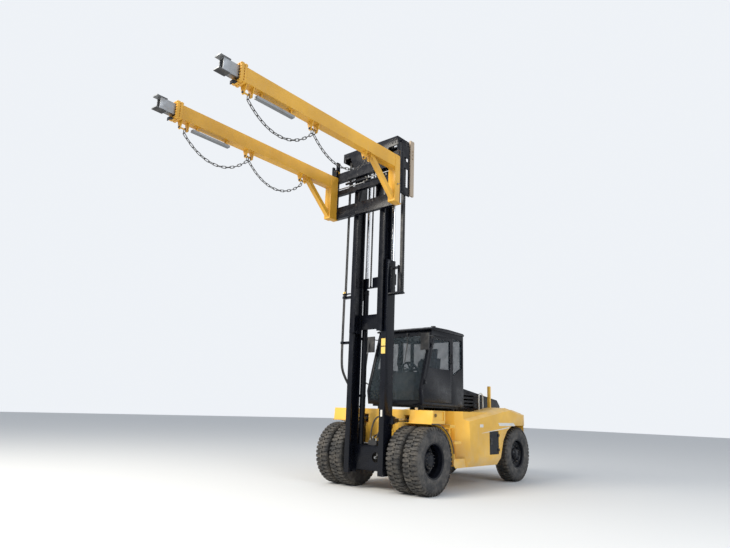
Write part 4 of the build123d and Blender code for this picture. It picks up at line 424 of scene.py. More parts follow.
@dataclass(frozen=True)
class Glass:
    """Thin tinted safety glass, a little dusty."""

    name: str
    tint: Colour = (0.05, 0.065, 0.075)
    clear: float = 0.66

    def build(self) -> bpy.types.Material:
        """Makes the material.

        Returns:
            The material.
        """
        g = Graph(self.name)
        g.set(Base_Color=self.tint, Roughness=0.03, IOR=1.22)
        dusty = g.range(g.noise(5.0, 6.0, 0.6), 0.4, 0.8, 1.0 - self.clear, 1.12 - self.clear)
        g.feed(dusty, "Alpha")
        g.material.blend_method = "BLEND"
        return g.material


@dataclass(frozen=True)
class Cloth:
    """Woven seat cloth."""

    name: str
    colour: Colour = (0.035, 0.036, 0.042)

    def build(self) -> bpy.types.Material:
        """Makes the material.

        Returns:
            The material.
        """
        g = Graph(self.name)
        weave = g.nodes.new("ShaderNodeTexWave")
        weave.inputs["Scale"].default_value = 220.0
        weave.inputs["Distortion"].default_value = 1.5
        g.links.new(g.place, weave.inputs["Vector"])
        r, gr, b = self.colour
        g.feed(g.mix(weave.outputs["Fac"], self.colour, (r * 1.9, gr * 1.9, b * 1.9)), "Base Color")
        g.set(Roughness=0.85, Sheen_Weight=0.3)
        g.bump(weave.outputs["Fac"], 0.0008, 0.6)
        return g.material


@dataclass(frozen=True)
class Finish:
    """A material together with the record's slot that it stands for."""

    slot: Slot
    material: bpy.types.Material


class Finishes:
    """Every finish, made once and found by its plain name."""

    def __init__(self) -> None:
        """Builds the materials."""
        made = {
            "yellow": (Slot.YELLOW, Paint("machine_yellow", (0.86, 0.50, 0.07), dust=(0.62, 0.47, 0.28))),
            "black": (Slot.BLACK, Paint("satin_black", (0.0035, 0.0045, 0.0085), dust=(0.022, 0.022, 0.025),
                                        dust_amount=0.15, chips=0.12, chip_colour=(0.06, 0.055, 0.05),
                                        gloss=0.24, coat=0.0, sheen=0.22)),
            "ochre": (Slot.OCHRE, Paint("arm_orange", (0.72, 0.38, 0.035), dust=(0.45, 0.34, 0.20),
                                        gloss=0.40, chips=0.6, chip_colour=(0.16, 0.07, 0.03))),
            "pale_steel": (Slot.PALE_STEEL, Steel("drawn_steel", (0.30, 0.31, 0.32), rough=0.45,
                                                  stain_amount=0.35)),
            "chain": (Slot.CHAIN_STEEL, Steel("chain_steel", (0.13, 0.13, 0.13), rough=0.5,
                                              grain=(40.0, 40.0, 40.0), stain_amount=0.5)),
            "chrome": (Slot.ROD_CHROME, Steel("polished_rod", (0.72, 0.73, 0.75), rough=0.16,
                                              stain_amount=0.08)),
            "bolt": (Slot.CHAIN_STEEL, Steel("zinced_bolts", (0.36, 0.35, 0.31), rough=0.4,
                                             grain=(60.0, 60.0, 60.0), stain_amount=0.5)),
            "brass": (Slot.PALE_STEEL, Steel("brass_unions", (0.62, 0.45, 0.18), rough=0.3,
                                             grain=(60.0, 60.0, 60.0), stain_amount=0.3)),
            "tyre": (Slot.TYRE, Rubber("tyre_rubber")),
            "tread": (Slot.TYRE, Rubber("dusty_tread", colour=(0.018, 0.018, 0.018), dust=(0.15, 0.13, 0.105),
                                        dust_amount=0.65)),
            "rubber": (Slot.RUBBER, Rubber("hose_rubber", dust_amount=0.2, rough=0.5, grain=900.0)),
            "plastic": (Slot.PLASTIC, Plastic("black_plastic", (0.018, 0.018, 0.02))),
            "beige": (Slot.BEIGE, Plastic("sand_sleeve", (0.42, 0.33, 0.24), rough=0.6)),
            "label": (Slot.BEIGE, Plastic("blank_label", (0.74, 0.72, 0.66), rough=0.35, dust_amount=0.35)),
            "notice": (Slot.YELLOW, Plastic("blank_yellow_label", (0.80, 0.55, 0.12), rough=0.35,
                                            dust_amount=0.3)),
            "cloth": (Slot.FABRIC, Cloth("seat_cloth")),
            "glass": (Slot.GLASS, Glass("tinted_glass")),
            "amber": (Slot.PLASTIC, Plastic("amber_lens", (0.75, 0.26, 0.02), rough=0.15, dust_amount=0.1)),
            "cast": (Slot.CAST, Paint("cast_black", (0.018, 0.018, 0.02), dust=(0.16, 0.14, 0.12),
                                      dust_amount=0.6, chips=0.1, gloss=0.55)),
        }
        self.by_name = {name: Finish(slot, finish.build()) for name, (slot, finish) in made.items()}

    def __getitem__(self, name: str) -> Finish:
        """The finish of that name."""
        return self.by_name[name]

    def of_slot(self, slot: Slot) -> Finish:
        """The main finish of a slot."""
        return next(finish for finish in self.by_name.values() if finish.slot is slot)


def new_piece(name: str, mesh: bpy.types.Mesh) -> bpy.types.Object:
    """Links an object at the origin for a finished mesh.

    Args:
        name: The piece's name.
        mesh: Its mesh, already in place.

    Returns:
        The object.
    """
    piece = bpy.data.objects.new(name, mesh)
    bpy.context.scene.collection.objects.link(piece)
    return piece


def from_bmesh(name: str, bm: bmesh.types.BMesh) -> bpy.types.Object:
    """Turns a bmesh into an object and frees it.

    Args:
        name: The object's name.
        bm: The bmesh.

    Returns:
        The object.
    """
    mesh = bpy.data.meshes.new(name)
    bm.to_mesh(mesh)
    bm.free()
    return new_piece(name, mesh)


def baked(piece: bpy.types.Object) -> bpy.types.Object:
    """Applies a piece's modifiers into a plain mesh.

    Args:
        piece: An object with live modifiers.

    Returns:
        The same object with the finished mesh and no modifiers.
    """
    bpy.context.view_layer.update()
    graph = bpy.context.evaluated_depsgraph_get()
    mesh = bpy.data.meshes.new_from_object(piece.evaluated_get(graph), preserve_all_data_layers=True,
                                           depsgraph=graph)
    piece.modifiers.clear()
    piece.data = mesh
    mesh.name = piece.name
    return piece


def painted(piece: bpy.types.Object, material: bpy.types.Material) -> bpy.types.Object:
    """Gives a piece one material all over.

    Args:
        piece: The piece.
        material: Its material.

    Returns:
        The piece.
    """
    piece.data.materials.clear()
    piece.data.materials.append(material)
    return piece


@dataclass(frozen=True)
class Edges:
    """How a pressed or cut piece's edges are eased."""

    width: float = 0.003
    segments: int = 2
    angle: float = radians(32)

    def apply(self, piece: bpy.types.Object) -> bpy.types.Object:
        """Rounds the edges and smooths the shading.

        Args:
            piece: A closed mesh.

        Returns:
            The piece with its edges eased.
        """
        piece.data.polygons.foreach_set("use_smooth", [True] * len(piece.data.polygons))
        bevel = piece.modifiers.new("ease", "BEVEL")
        bevel.width = self.width
        bevel.segments = self.segments
        bevel.limit_method = "ANGLE"
        bevel.angle_limit = self.angle
        bevel.harden_normals = True
        return baked(piece)


def pipe_mesh(points: list[Point], radius: float, order: int, closed: bool,
              along: int) -> bpy.types.Mesh:
    """A round pipe or bent bar along a smooth line.

    Args:
        points: Control points, in metres from the drive axle.
        radius: The pipe's radius.
        order: 2 for straight runs, 3 or 4 for bends.
        closed: Whether the line returns to its start.
        along: Fineness along the line.

    Returns:
        The pipe's mesh, with closed ends.
    """
    curve = bpy.data.curves.new("line", "CURVE")
    curve.dimensions = "3D"
    spline = curve.splines.new("NURBS")
    spline.points.add(len(points) - 1)
    for point, place in zip(spline.points, points):
        point.co = (*at(*place), 1.0)
    spline.order_u = order
    spline.use_endpoint_u = not closed
    spline.use_cyclic_u = closed
    spline.resolution_u = along
    curve.bevel_depth = radius
    curve.bevel_resolution = 3
    curve.use_fill_caps = True
    holder = new_piece("line", curve)
    bpy.context.view_layer.update()
    mesh = bpy.data.meshes.new_from_object(holder.evaluated_get(bpy.context.evaluated_depsgraph_get()))
    bpy.data.objects.remove(holder)
    return mesh


class Stock:
    """A mesh in the making, from plates, turned rings and bent bars, in metres from the drive axle."""

    def __init__(self, hand: int = 1) -> None:
        """Starts an empty mesh.

        Args:
            hand: 1 for the left side, -1 to have everything land mirrored on the right.
        """
        self.bm = bmesh.new()
        self.hand = hand

    def vertex(self, x: float, y: float, z: float) -> bmesh.types.BMVert:
        """Adds one corner."""
        return self.bm.verts.new(at(x, y * self.hand, z))

    def band(self, first: Ring, second: Ring) -> None:
        """Joins two rings of as many corners by a band of faces.

        Args:
            first: One ring.
            second: The other, in the same order.
        """
        for index in range(len(first)):
            after = (index + 1) % len(first)
            self.bm.faces.new((first[index], first[after], second[after], second[index]))

    def sealed(self) -> bmesh.types.BMesh:
        """Merges doubled corners and points every face outwards.

        Returns:
            The mesh.
        """
        bmesh.ops.remove_doubles(self.bm, verts=self.bm.verts, dist=1e-6)
        bmesh.ops.recalc_face_normals(self.bm, faces=self.bm.faces)
        return self.bm

    def block(self, x: Span, y: Span, z: Span) -> "Stock":
        """A plate or bar between two values on each axis."""
        return self.plate("z", [(x[0], y[0]), (x[1], y[0]), (x[1], y[1]), (x[0], y[1])], z)

    def plate(self, axis: str, outline: list[tuple[float, float]], span: Span) -> "Stock":
        """An outline carried along an axis.

        Args:
            axis: The axis that it is carried along.
            outline: Points on the other two axes, in the order x, y, z.
            span: Where it starts and ends on the axis.

        Returns:
            The stock itself.
        """
        place = "xyz".index(axis)
        rings = []
        for value in span:
            corners = [(*corner[:place], value, *corner[place:]) for corner in outline]
            rings.append([self.vertex(*corner) for corner in corners])
        self.band(*rings)
        self.bm.faces.new(rings[0][::-1])
        self.bm.faces.new(rings[1])
        return self

    def turned(self, start: Point, along: Point, profile: list[tuple[float, float]], steps: int = 48,
               closed: bool = False) -> "Stock":
        """A profile turned about a line.

        Args:
            start: A point on the line, where distance is 0.
            along: The line's direction.
            profile: Distance along the line and radius, point by point.
            steps: Divisions round the line.
            closed: Whether the profile is a ring that returns to its start.

        Returns:
            The stock itself.
        """
        way = Vector((along[0], along[1] * self.hand, along[2])).normalized()
        side = way.orthogonal().normalized()
        other = way.cross(side)
        middle = at(start[0], start[1] * self.hand, start[2])
        rings = []
        for distance, radius in profile:
            centre = middle + way * distance
            if radius < 1e-6:
                rings.append([self.bm.verts.new(centre)])
                continue
            turns = [2 * pi * number / steps for number in range(steps)]
            rings.append([self.bm.verts.new(centre + side * (cos(t) * radius) + other * (sin(t) * radius))
                          for t in turns])
        pairs = list(zip(rings, rings[1:])) + ([(rings[-1], rings[0])] if closed else [])
        for first, second in pairs:
            for number in range(steps):
                after = (number + 1) % steps
                corners = [first[number % len(first)], first[after % len(first)],
                           second[after % len(second)], second[number % len(second)]]
                self.bm.faces.new(list(dict.fromkeys(corners)))
        if not closed:
            for ring in (rings[0], rings[-1]):
                if len(ring) > 1:
                    self.bm.faces.new(ring)
        return self

    def rod(self, start: Point, end: Point, radius: float, steps: int = 24) -> "Stock":
        """A round bar between two points.

        Args:
            start: One end's middle.
            end: The other end's middle.
            radius: The bar's radius.
            steps: Divisions round it.

        Returns:
            The stock itself.
        """
        way = Vector(end) - Vector(start)
        return self.turned(start, tuple(way), [(0.0, radius), (way.length, radius)], steps)

    def pipe(self, points: list[Point], radius: float, order: int = 3, closed: bool = False,
             along: int = 6) -> "Stock":
        """A bent pipe along control points; see pipe_mesh.

        Args:
            points: Control points, as in pipe_mesh.
            radius: The pipe's radius.
            order: 2 for straight runs, 3 or 4 for bends.
            closed: Whether the line returns to its start.
            along: Fineness along the line.

        Returns:
            The stock itself.
        """
        placed = [(x, y * self.hand, z) for x, y, z in points]
        self.bm.from_mesh(pipe_mesh(placed, radius, order, closed, along))
        return self

    def piece(self, name: str, finish: Finish, body: str, ease: float = 0.0, segments: int = 2,
              angle: float = 32.0, replaces: tuple[str, ...] = ()) -> bpy.types.Object:
        """Closes the mesh, eases its edges, gives it its finish and sets it on its body.

        Args:
            name: The piece's name.
            finish: Its slot and material.
            body: The body it rides on.
            ease: Width of the eased edges.
            segments: Facets across an eased edge.
            angle: Degrees past which an edge is eased.
            replaces: CAD nodes that it stands for.

        Returns:
            The finished piece.
        """
        piece = from_bmesh(name, self.sealed())
        if ease:
            Edges(ease, segments, radians(angle)).apply(piece)
        else:
            shade_by_angle(piece, radians(angle))
        return seated(piece, finish, body, replaces)


def sorted_span(a: float, b: float) -> Span:
    """Two values in rising order."""
    return (min(a, b), max(a, b))


def shade_by_angle(piece: bpy.types.Object, angle: float) -> None:
    """Smooths the shading except across edges sharper than the angle."""
    piece.data.polygons.foreach_set("use_smooth", [True] * len(piece.data.polygons))
    piece.data.set_sharp_from_angle(angle=angle)


def seated(piece: bpy.types.Object, finish: Finish, body: str,
           replaces: tuple[str, ...] = ()) -> bpy.types.Object:
    """Gives a finished piece its material and its body.

    Args:
        piece: The piece.
        finish: Its slot and material.
        body: The body it rides on, or nothing for a run that joins two and rides on neither.
        replaces: CAD nodes that it stands for.

    Returns:
        The piece.
    """
    painted(piece, finish.material)
    if replaces:
        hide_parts(*replaces)
    if body:
        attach(piece, body)
    LOG.info("%s: %d faces", piece.name, len(piece.data.polygons))
    return piece


class Rows:
    """A Geometry Nodes tree that sets one shape on every point of a row, turned as the point says."""

    def __init__(self) -> None:
        """Builds the tree once."""
        tree = bpy.data.node_groups.new("set_along_row", "GeometryNodeTree")
        face = tree.interface
        face.new_socket("Points", in_out="INPUT", socket_type="NodeSocketGeometry")
        self.shape, self.size, self.finish = (
            face.new_socket(name, in_out="INPUT", socket_type=f"NodeSocket{kind}").identifier
            for name, kind in (("Shape", "Object"), ("Size", "Float"), ("Finish", "Material")))
        face.new_socket("Geometry", in_out="OUTPUT", socket_type="NodeSocketGeometry")
        given, info, turn, euler, instance, realize, cover, result = (
            tree.nodes.new(kind) for kind in (
                "NodeGroupInput", "GeometryNodeObjectInfo", "GeometryNodeInputNamedAttribute",
                "FunctionNodeEulerToRotation", "GeometryNodeInstanceOnPoints", "GeometryNodeRealizeInstances",
                "GeometryNodeSetMaterial", "NodeGroupOutput"))
        turn.data_type = "FLOAT_VECTOR"
        turn.inputs["Name"].default_value = "turn"
        for source, out, target, into in (
                (given, "Shape", info, "Object"), (turn, 0, euler, 0),
                (given, "Points", instance, "Points"), (info, "Geometry", instance, "Instance"),
                (euler, 0, instance, "Rotation"), (given, "Size", instance, "Scale"),
                (instance, "Instances", realize, "Geometry"), (realize, "Geometry", cover, "Geometry"),
                (given, "Finish", cover, "Material"), (cover, "Geometry", result, "Geometry")):
            tree.links.new(source.outputs[out], target.inputs[into])
        self.tree = tree

    def mesh(self, shape: bmesh.types.BMesh, row: list[Stand], finish: Finish) -> bpy.types.Mesh:
        """The shape set on every stand of a row.

        Args:
            shape: The shape about its own middle; it is used up.
            row: Places in metres from the drive axle, each with its turn as Euler angles.
            finish: The material to set.

        Returns:
            One plain mesh.
        """
        sample = from_bmesh("sample", shape)
        shade_by_angle(sample, radians(32))
        points = bpy.data.meshes.new("row")
        points.from_pydata([at(*place) for place, _ in row], [], [])
        points.attributes.new("turn", "FLOAT_VECTOR", "POINT").data.foreach_set(
            "vector", [angle for _, turn in row for angle in turn])
        holder = new_piece("row", points)
        step = holder.modifiers.new("row", "NODES")
        step.node_group = self.tree
        step[self.shape] = sample
        step[self.size] = 1.0
        step[self.finish] = finish.material
        mesh = baked(holder).data
        bpy.data.objects.remove(holder)
        bpy.data.objects.remove(sample)
        return mesh

    def piece(self, name: str, shape: bmesh.types.BMesh, row: list[Stand], finish: Finish, body: str,
              replaces: tuple[str, ...] = ()) -> bpy.types.Object:
        """A finished piece of repeated shapes on one body; see mesh."""
        return seated(new_piece(name, self.mesh(shape, row, finish)), finish, body, replaces)


def shape_of(stock: Stock) -> bmesh.types.BMesh:
    """A stock drawn about the drive axle, as a shape for a row.

    Args:
        stock: The stock, which is used up.

    Returns:
        The shape.
    """
    bmesh.ops.translate(stock.bm, verts=stock.bm.verts, vec=(MIDDLE_X, 0.0, 0.0))
    return stock.sealed()


def bolt(across: float, height: float) -> bmesh.types.BMesh:
    """A hexagon bolt head with its chamfer and washer, standing up along Z.

    Args:
        across: Width across the corners.
        height: Height of the head.

    Returns:
        The shape.
    """
    stock = Stock()
    washer = [(0, across * 0.62), (height * 0.25 + 0.001, across * 0.62)]
    stock.turned((0, 0, -0.001), (0, 0, 1), washer, 16)
    head = [(0, across / 2), (height * 0.8, across / 2), (height, across * 0.4)]
    stock.turned((0, 0, height * 0.2), (0, 0, 1), head, 6)
    return shape_of(stock)


UP = (0.0, 0.0, 0.0)
FORWARD = (0.0, pi / 2, 0.0)
BACKWARD = (0.0, -pi / 2, 0.0)
LEFT = (-pi / 2, 0.0, 0.0)
RIGHT = (pi / 2, 0.0, 0.0)
HANDS = ((1, "left"), (-1, "right"))


def eased_copy(node: str, name: str, edges: Edges) -> bpy.types.Object:
    """A copy of a CAD node with its edges eased, standing for that node.

    Args:
        node: The CAD node's name.
        name: The new piece's name.
        edges: How to ease it.

    Returns:
        The piece, not yet riding on a body.
    """
    bm = bmesh.new()
    bm.from_mesh(frame["nodes"][node].data)
    bmesh.ops.remove_doubles(bm, verts=bm.verts, dist=1e-5)
    bmesh.ops.dissolve_limit(bm, angle_limit=radians(0.4), verts=bm.verts, edges=bm.edges, delimit={"NORMAL"})
    piece = edges.apply(from_bmesh(name, bm))
    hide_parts(node)
    return piece


@dataclass(frozen=True)
class Studio:
    """The camera at the photograph's angle, the pale floor and the soft lights."""

    eye: Point = (8.9017, 7.2127, 1.4643)
    yaw: float = 0.7211
    pitch: float = 0.2390
    roll: float = 0.0360
    focal_px: float = 558.65
    picture_px: int = 730
    sensor: float = 36.0
    floor_size: float = 60.0
    floor_colour: Colour = (0.72, 0.72, 0.71)
    surround: Colour = (0.50, 0.54, 0.60)
    backdrop: Colour = (0.86, 0.89, 0.93)
    aim: Point = (0.0, 0.0, 2.5)

    def camera(self) -> None:
        """Places the camera."""
        yaw, pitch, roll = self.yaw, self.pitch, self.roll
        ahead = Vector((-cos(yaw) * cos(pitch), -sin(yaw) * cos(pitch), sin(pitch)))
        right = Vector((-sin(yaw), cos(yaw), 0.0))
        up = right.cross(ahead)
        side = right * cos(roll) + up * sin(roll)
        top = up * cos(roll) - right * sin(roll)
        data = bpy.data.cameras.new("camera")
        data.sensor_width = self.sensor
        data.lens = self.focal_px / self.picture_px * self.sensor
        data.clip_end = 200.0
        camera = bpy.data.objects.new("camera", data)
        bpy.context.scene.collection.objects.link(camera)
        turn = Matrix((side, top, -ahead)).transposed().to_4x4()
        camera.matrix_world = Matrix.Translation(at(*self.eye)) @ turn
        bpy.context.scene.camera = camera

    def floor(self) -> None:
        """Lays a plain pale floor."""
        bm = bmesh.new()
        bmesh.ops.create_grid(bm, x_segments=1, y_segments=1, size=self.floor_size)
        floor = from_bmesh("floor", bm)
        g = Graph("floor_matte")
        g.set(Base_Color=self.floor_colour, Roughness=0.9)
        painted(floor, g.material)

    def light(self, name: str, place: Point, aim: Point, size: float, power: float, colour: Colour) -> None:
        """Adds one soft area light.

        Args:
            name: The light's name.
            place: Where it stands.
            aim: What it points at.
            size: Its side in metres.
            power: Its power in watts.
            colour: Its colour.
        """
        data = bpy.data.lights.new(name, "AREA")
        data.size = size
        data.energy = power
        data.color = colour
        light = bpy.data.objects.new(name, data)
        bpy.context.scene.collection.objects.link(light)
        light.location = place
        light.rotation_euler = (Vector(aim) - Vector(place)).to_track_quat("-Z", "Y").to_euler()

    def world(self) -> None:
        """An even surround, paler where the camera, a reflection or a pane sees it."""
        world = bpy.data.worlds.new("surround")
        bpy.context.scene.world = world
        world.use_nodes = True
        nodes, links = world.node_tree.nodes, world.node_tree.links
        background = nodes["Background"]
        rays = nodes.new("ShaderNodeLightPath")
        seen = rays.outputs["Is Camera Ray"]
        for name in ("Is Glossy Ray", "Is Transmission Ray"):
            add = nodes.new("ShaderNodeMath")
            add.operation = "ADD"
            add.use_clamp = True
            links.new(seen, add.inputs[0])
            links.new(rays.outputs[name], add.inputs[1])
            seen = add.outputs[0]
        colour = nodes.new("ShaderNodeMix")
        colour.data_type = "RGBA"
        colour.inputs[6].default_value = (*self.surround, 1.0)
        colour.inputs[7].default_value = (*self.backdrop, 1.0)
        links.new(seen, colour.inputs["Factor"])
        links.new(colour.outputs[2], background.inputs["Color"])
        background.inputs["Strength"].default_value = 1.0

    def build(self) -> None:
        """Sets the whole studio."""
        self.camera()
        self.floor()
        self.world()
        self.light("key", (14.0, -3.0, 13.0), self.aim, 8.0, 3600.0, (1.0, 0.95, 0.86))
        self.light("fill", (3.0, 15.0, 9.0), self.aim, 9.0, 900.0, (0.86, 0.92, 1.0))
        bpy.context.scene.view_settings.view_transform = "Standard"


@dataclass
class Plating:
    """The painted CAD solids, each carried over with eased edges."""

    finishes: Finishes
    widths: dict[str, float] = field(default_factory=dict)

    def build(self) -> None:
        """Copies each node with eased edges, or gives it its finish where it stays."""
        slots = {part["node"]: part["material_slot"] for part in frame["record"]["subparts"]}
        for name, node in frame["nodes"].items():
            if node.hide_render:
                continue
            finish = self.finishes.of_slot(Slot(slots[name]))
            painted(node, finish.material)
            width = self.widths.get(name, 0.0)
            if width > 0:
                piece = eased_copy(name, f"{name}_eased", Edges(width))
                seated(piece, finish, node["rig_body"])
        LOG.info("plating: %d nodes carried over", len(frame["nodes"]))


@dataclass
class Wheels:
    """The twin drive wheels and the single steered ones, with their lugs, rims and nuts."""

    finishes: Finishes
    rows: Rows
    axle_z: float = 0.606
    tyre_r: float = 0.605
    base_r: float = 0.578
    half: float = 0.1575
    rim_r: float = 0.3053
    lugs: int = 44
    drive_y: tuple[float, float] = (0.714, 1.088)
    steer_x: float = -3.664
    steer_y: float = 0.921
    valve_z: float = 0.640

    def carcass(self, stock: Stock, x: float, y: float) -> None:
        """Turns one tyre's body with the rings of its sidewalls.

        Args:
            stock: The mesh in the making.
            x: The wheel's middle along the machine.
            y: The tyre's middle across it.
        """
        h = self.half
        side = [(0.125, self.rim_r), (0.134, 0.318), (0.141, 0.336), (0.1465, 0.342), (0.1485, 0.352),
                (0.1475, 0.364), (0.1525, 0.392), (h, 0.440), (h, 0.462), (0.1545, 0.487), (0.1565, 0.492),
                (0.1565, 0.500), (0.1535, 0.505), (0.150, 0.530), (0.141, 0.560), (0.128, 0.574),
                (0.090, self.base_r)]
        profile = side + [(0.0, self.base_r + 0.002)] + [(-across, radius) for across, radius in side[::-1]]
        stock.turned((x, y, self.axle_z), (0, 1, 0), profile, 96, closed=True)

    def lug(self, hand: int) -> bmesh.types.BMesh:
        """One tread bar, with its step and the slope over the shoulder, about the tread's middle.

        Args:
            hand: The side of the tread it is on.

        Returns:
            The shape, with Z away from the axle.
        """
        plan = [(-0.020, -0.014), (0.018, -0.014), (0.018, 0.030), (0.028, 0.042), (0.028, 0.088),
                (0.022, 0.098), (0.022, 0.136), (-0.026, 0.136), (-0.026, 0.094), (-0.014, 0.082),
                (-0.014, 0.046), (-0.020, 0.034)]
        top = self.tyre_r
        high = [(a, b * hand) for a, b in plan]
        wide = [(a * 1.12 + (0.002 if a > 0 else -0.002),
                 (b + 0.019 if b > 0.1 else b) * hand) for a, b in plan]
        low = [(a * 1.2, (b + 0.021 if b > 0.1 else b) * hand) for a, b in plan]
        stock = Stock()
        chamfer = [(a * 0.9, (b - 0.004 if b > 0.1 else b) * hand) for a, b in plan]
        outlines = ((low, top - 0.052), (wide, top - 0.040), (high, top - 0.004), (chamfer, top))
        rings = [[stock.vertex(a, b, z) for a, b in outline] for outline, z in outlines]
        for first, second in zip(rings, rings[1:]):
            stock.band(first, second)
        stock.bm.faces.new(rings[-1])
        stock.bm.faces.new(rings[0][::-1])
        return shape_of(stock)

    def tread(self, x: float, y: float, hand: int) -> list[Stand]:
        """Stands for one side's bars all round a tyre.

        Args:
            x: The wheel's middle along the machine.
            y: The tyre's middle across it.
            hand: The side of the tread they are on.

        Returns:
            The stands.
        """
        stands = []
        for number in range(self.lugs):
            angle = 2 * pi * (number + (0.25 if hand > 0 else 0.75)) / self.lugs
            stands.append(((x, y, self.axle_z), (0.0, angle, 0.0)))
        return stands

    def tyres(self, name: str, body: str, x: float, ys: list[float], nodes: tuple[str, ...]) -> None:
        """Builds the tyres of one body.

        Args:
            name: Start of the pieces' names.
            body: The body they ride on.
            x: The wheel's middle along the machine.
            ys: The tyres' middles.
            nodes: The CAD nodes they stand for.
        """
        stock = Stock()
        for y in ys:
            self.carcass(stock, x, y)
        stock.piece(f"{name}_tyre_bodies", self.finishes["tyre"], body, replaces=nodes, angle=50)
        for hand, word in ((1, "outer"), (-1, "inner")):
            row = [stand for y in ys for stand in self.tread(x, y, hand)]
            self.rows.piece(f"{name}_{word}_tread_bars", self.lug(hand), row, self.finishes["tread"], body)

    def nuts(self, name: str, body: str, x: float, y: float, radius: float, count: int, side: int,
             across: float = 0.034) -> None:
        """A ring of wheel nuts.

        Args:
            name: The piece's name.
            body: The body they ride on.
            x: The wheel's middle along the machine.
            y: The face they stand on.
            radius: The ring's radius.
            count: How many there are.
            side: Which way they point.
            across: Width of a nut.
        """
        row = []
        for number in range(count):
            angle = 2 * pi * (number + 0.5) / count
            place = (x + radius * cos(angle), y, self.axle_z + radius * sin(angle))
            row.append((place, LEFT if side > 0 else RIGHT))
        self.rows.piece(name, bolt(across, 0.022), row, self.finishes["cast"], body)

    def drive_rim(self, name: str, body: str, hand: int, node: str) -> None:
        """The two rims of a side on their planetary hub.

        Args:
            name: Start of the pieces' names.
            body: The body they ride on.
            hand: 1 on the left, -1 on the right.
            node: The CAD node it stands for.
        """
        lip = [(1.190, 0.3045), (1.206, 0.3045), (1.2155, 0.311), (1.2195, 0.322), (1.2235, 0.326),
               (1.2275, 0.323), (1.2275, 0.313), (1.222, 0.302), (1.2125, 0.2935), (1.197, 0.2895),
               (1.140, 0.2885), (1.130, 0.283), (1.110, 0.283), (1.100, 0.2885), (1.002, 0.2885),
               (0.992, 0.276), (0.984, 0.268), (0.984, 0.208), (0.996, 0.202), (1.000, 0.168),
               (1.082, 0.164), (1.092, 0.156), (1.118, 0.152), (1.124, 0.146), (1.130, 0.112),
               (1.146, 0.104), (1.1485, 0.098), (1.1485, 0.0)]
        back = [(0.566, 0.0), (0.566, 0.176), (0.820, 0.234), (0.822, 0.287), (0.592, 0.2885),
                (0.580, 0.2935), (0.575, 0.302), (0.575, 0.314), (0.5835, 0.314), (0.590, 0.3045),
                (0.838, 0.3045), (0.840, 0.296), (0.962, 0.296), (0.964, 0.3045)]
        stock = Stock(hand)
        stock.turned((0, 0, self.axle_z), (0, 1, 0), back + lip, 72)
        stock.piece(f"{name}_rims_turned", self.finishes["black"], body, ease=0.0015, segments=1, angle=50,
                    replaces=(node,))
        self.nuts(f"{name}_wheel_nuts", body, 0.0, 0.984 * hand, 0.240, 20, hand)
        self.nuts(f"{name}_hub_bolts", body, 0.0, 1.123 * hand, 0.130, 12, hand, 0.022)
        valve = Stock(hand)
        z = self.valve_z
        valve.pipe([(0.262, 0.986, z), (0.262, 1.04, z), (0.266, 1.10, z), (0.272, 1.15, z)], 0.005)
        valve.rod((0.272, 1.15, z), (0.274, 1.176, z), 0.0065, 10)
        valve.piece(f"{name}_tyre_valve", self.finishes["brass"], body)

    def steer_rim(self, name: str, body: str, hand: int, node: str) -> None:
        """A steered wheel's rim with its hub and nuts.

        Args:
            name: Start of the pieces' names.
            body: The body it rides on.
            hand: 1 on the left, -1 on the right.
            node: The CAD node it stands for.
        """
        profile = [(0.826, 0.110), (0.943, 0.134), (0.943, 0.276), (0.930, 0.2885), (0.812, 0.2885),
                   (0.800, 0.293), (0.793, 0.302), (0.793, 0.314), (0.8015, 0.314), (0.808, 0.3045),
                   (1.038, 0.3045), (1.047, 0.311), (1.052, 0.322), (1.056, 0.326), (1.060, 0.323),
                   (1.060, 0.313), (1.055, 0.302), (1.046, 0.2935), (1.030, 0.2895), (0.985, 0.2885),
                   (0.968, 0.270), (0.962, 0.262), (0.962, 0.168), (0.968, 0.160), (0.972, 0.134),
                   (0.995, 0.128), (1.006, 0.116), (1.021, 0.106), (1.030, 0.086), (1.038, 0.078),
                   (1.039, 0.0)]
        stock = Stock(hand)
        stock.turned((self.steer_x, 0, self.axle_z), (0, 1, 0), profile, 72)
        stock.piece(f"{name}_rim_turned", self.finishes["black"], body, ease=0.0015, segments=1, angle=50,
                    replaces=(node,))
        self.nuts(f"{name}_wheel_nuts", body, self.steer_x, 0.962 * hand, 0.205, 10, hand)
        self.nuts(f"{name}_hub_bolts", body, self.steer_x, 1.006 * hand, 0.100, 8, hand, 0.018)

    def build(self) -> None:
        """Builds all four wheels."""
        for hand, side in HANDS:
            body = f"drive_wheel_{side}"
            self.tyres(f"drive_{side}", body, 0.0, [y * hand for y in self.drive_y], (f"drive_tyres_{side}",))
            self.drive_rim(f"drive_{side}", body, hand, f"drive_rims_{side}")
            body = f"steer_wheel_{side}"
            self.tyres(f"steer_{side}", body, self.steer_x, [self.steer_y * hand], (f"steer_tyre_{side}",))
            self.steer_rim(f"steer_{side}", body, hand, f"steer_rim_{side}")


def stretched(piece: bpy.types.Object) -> None:
    """Bakes the placement of a run that joins two sliding bodies into its mesh."""
    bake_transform(piece)


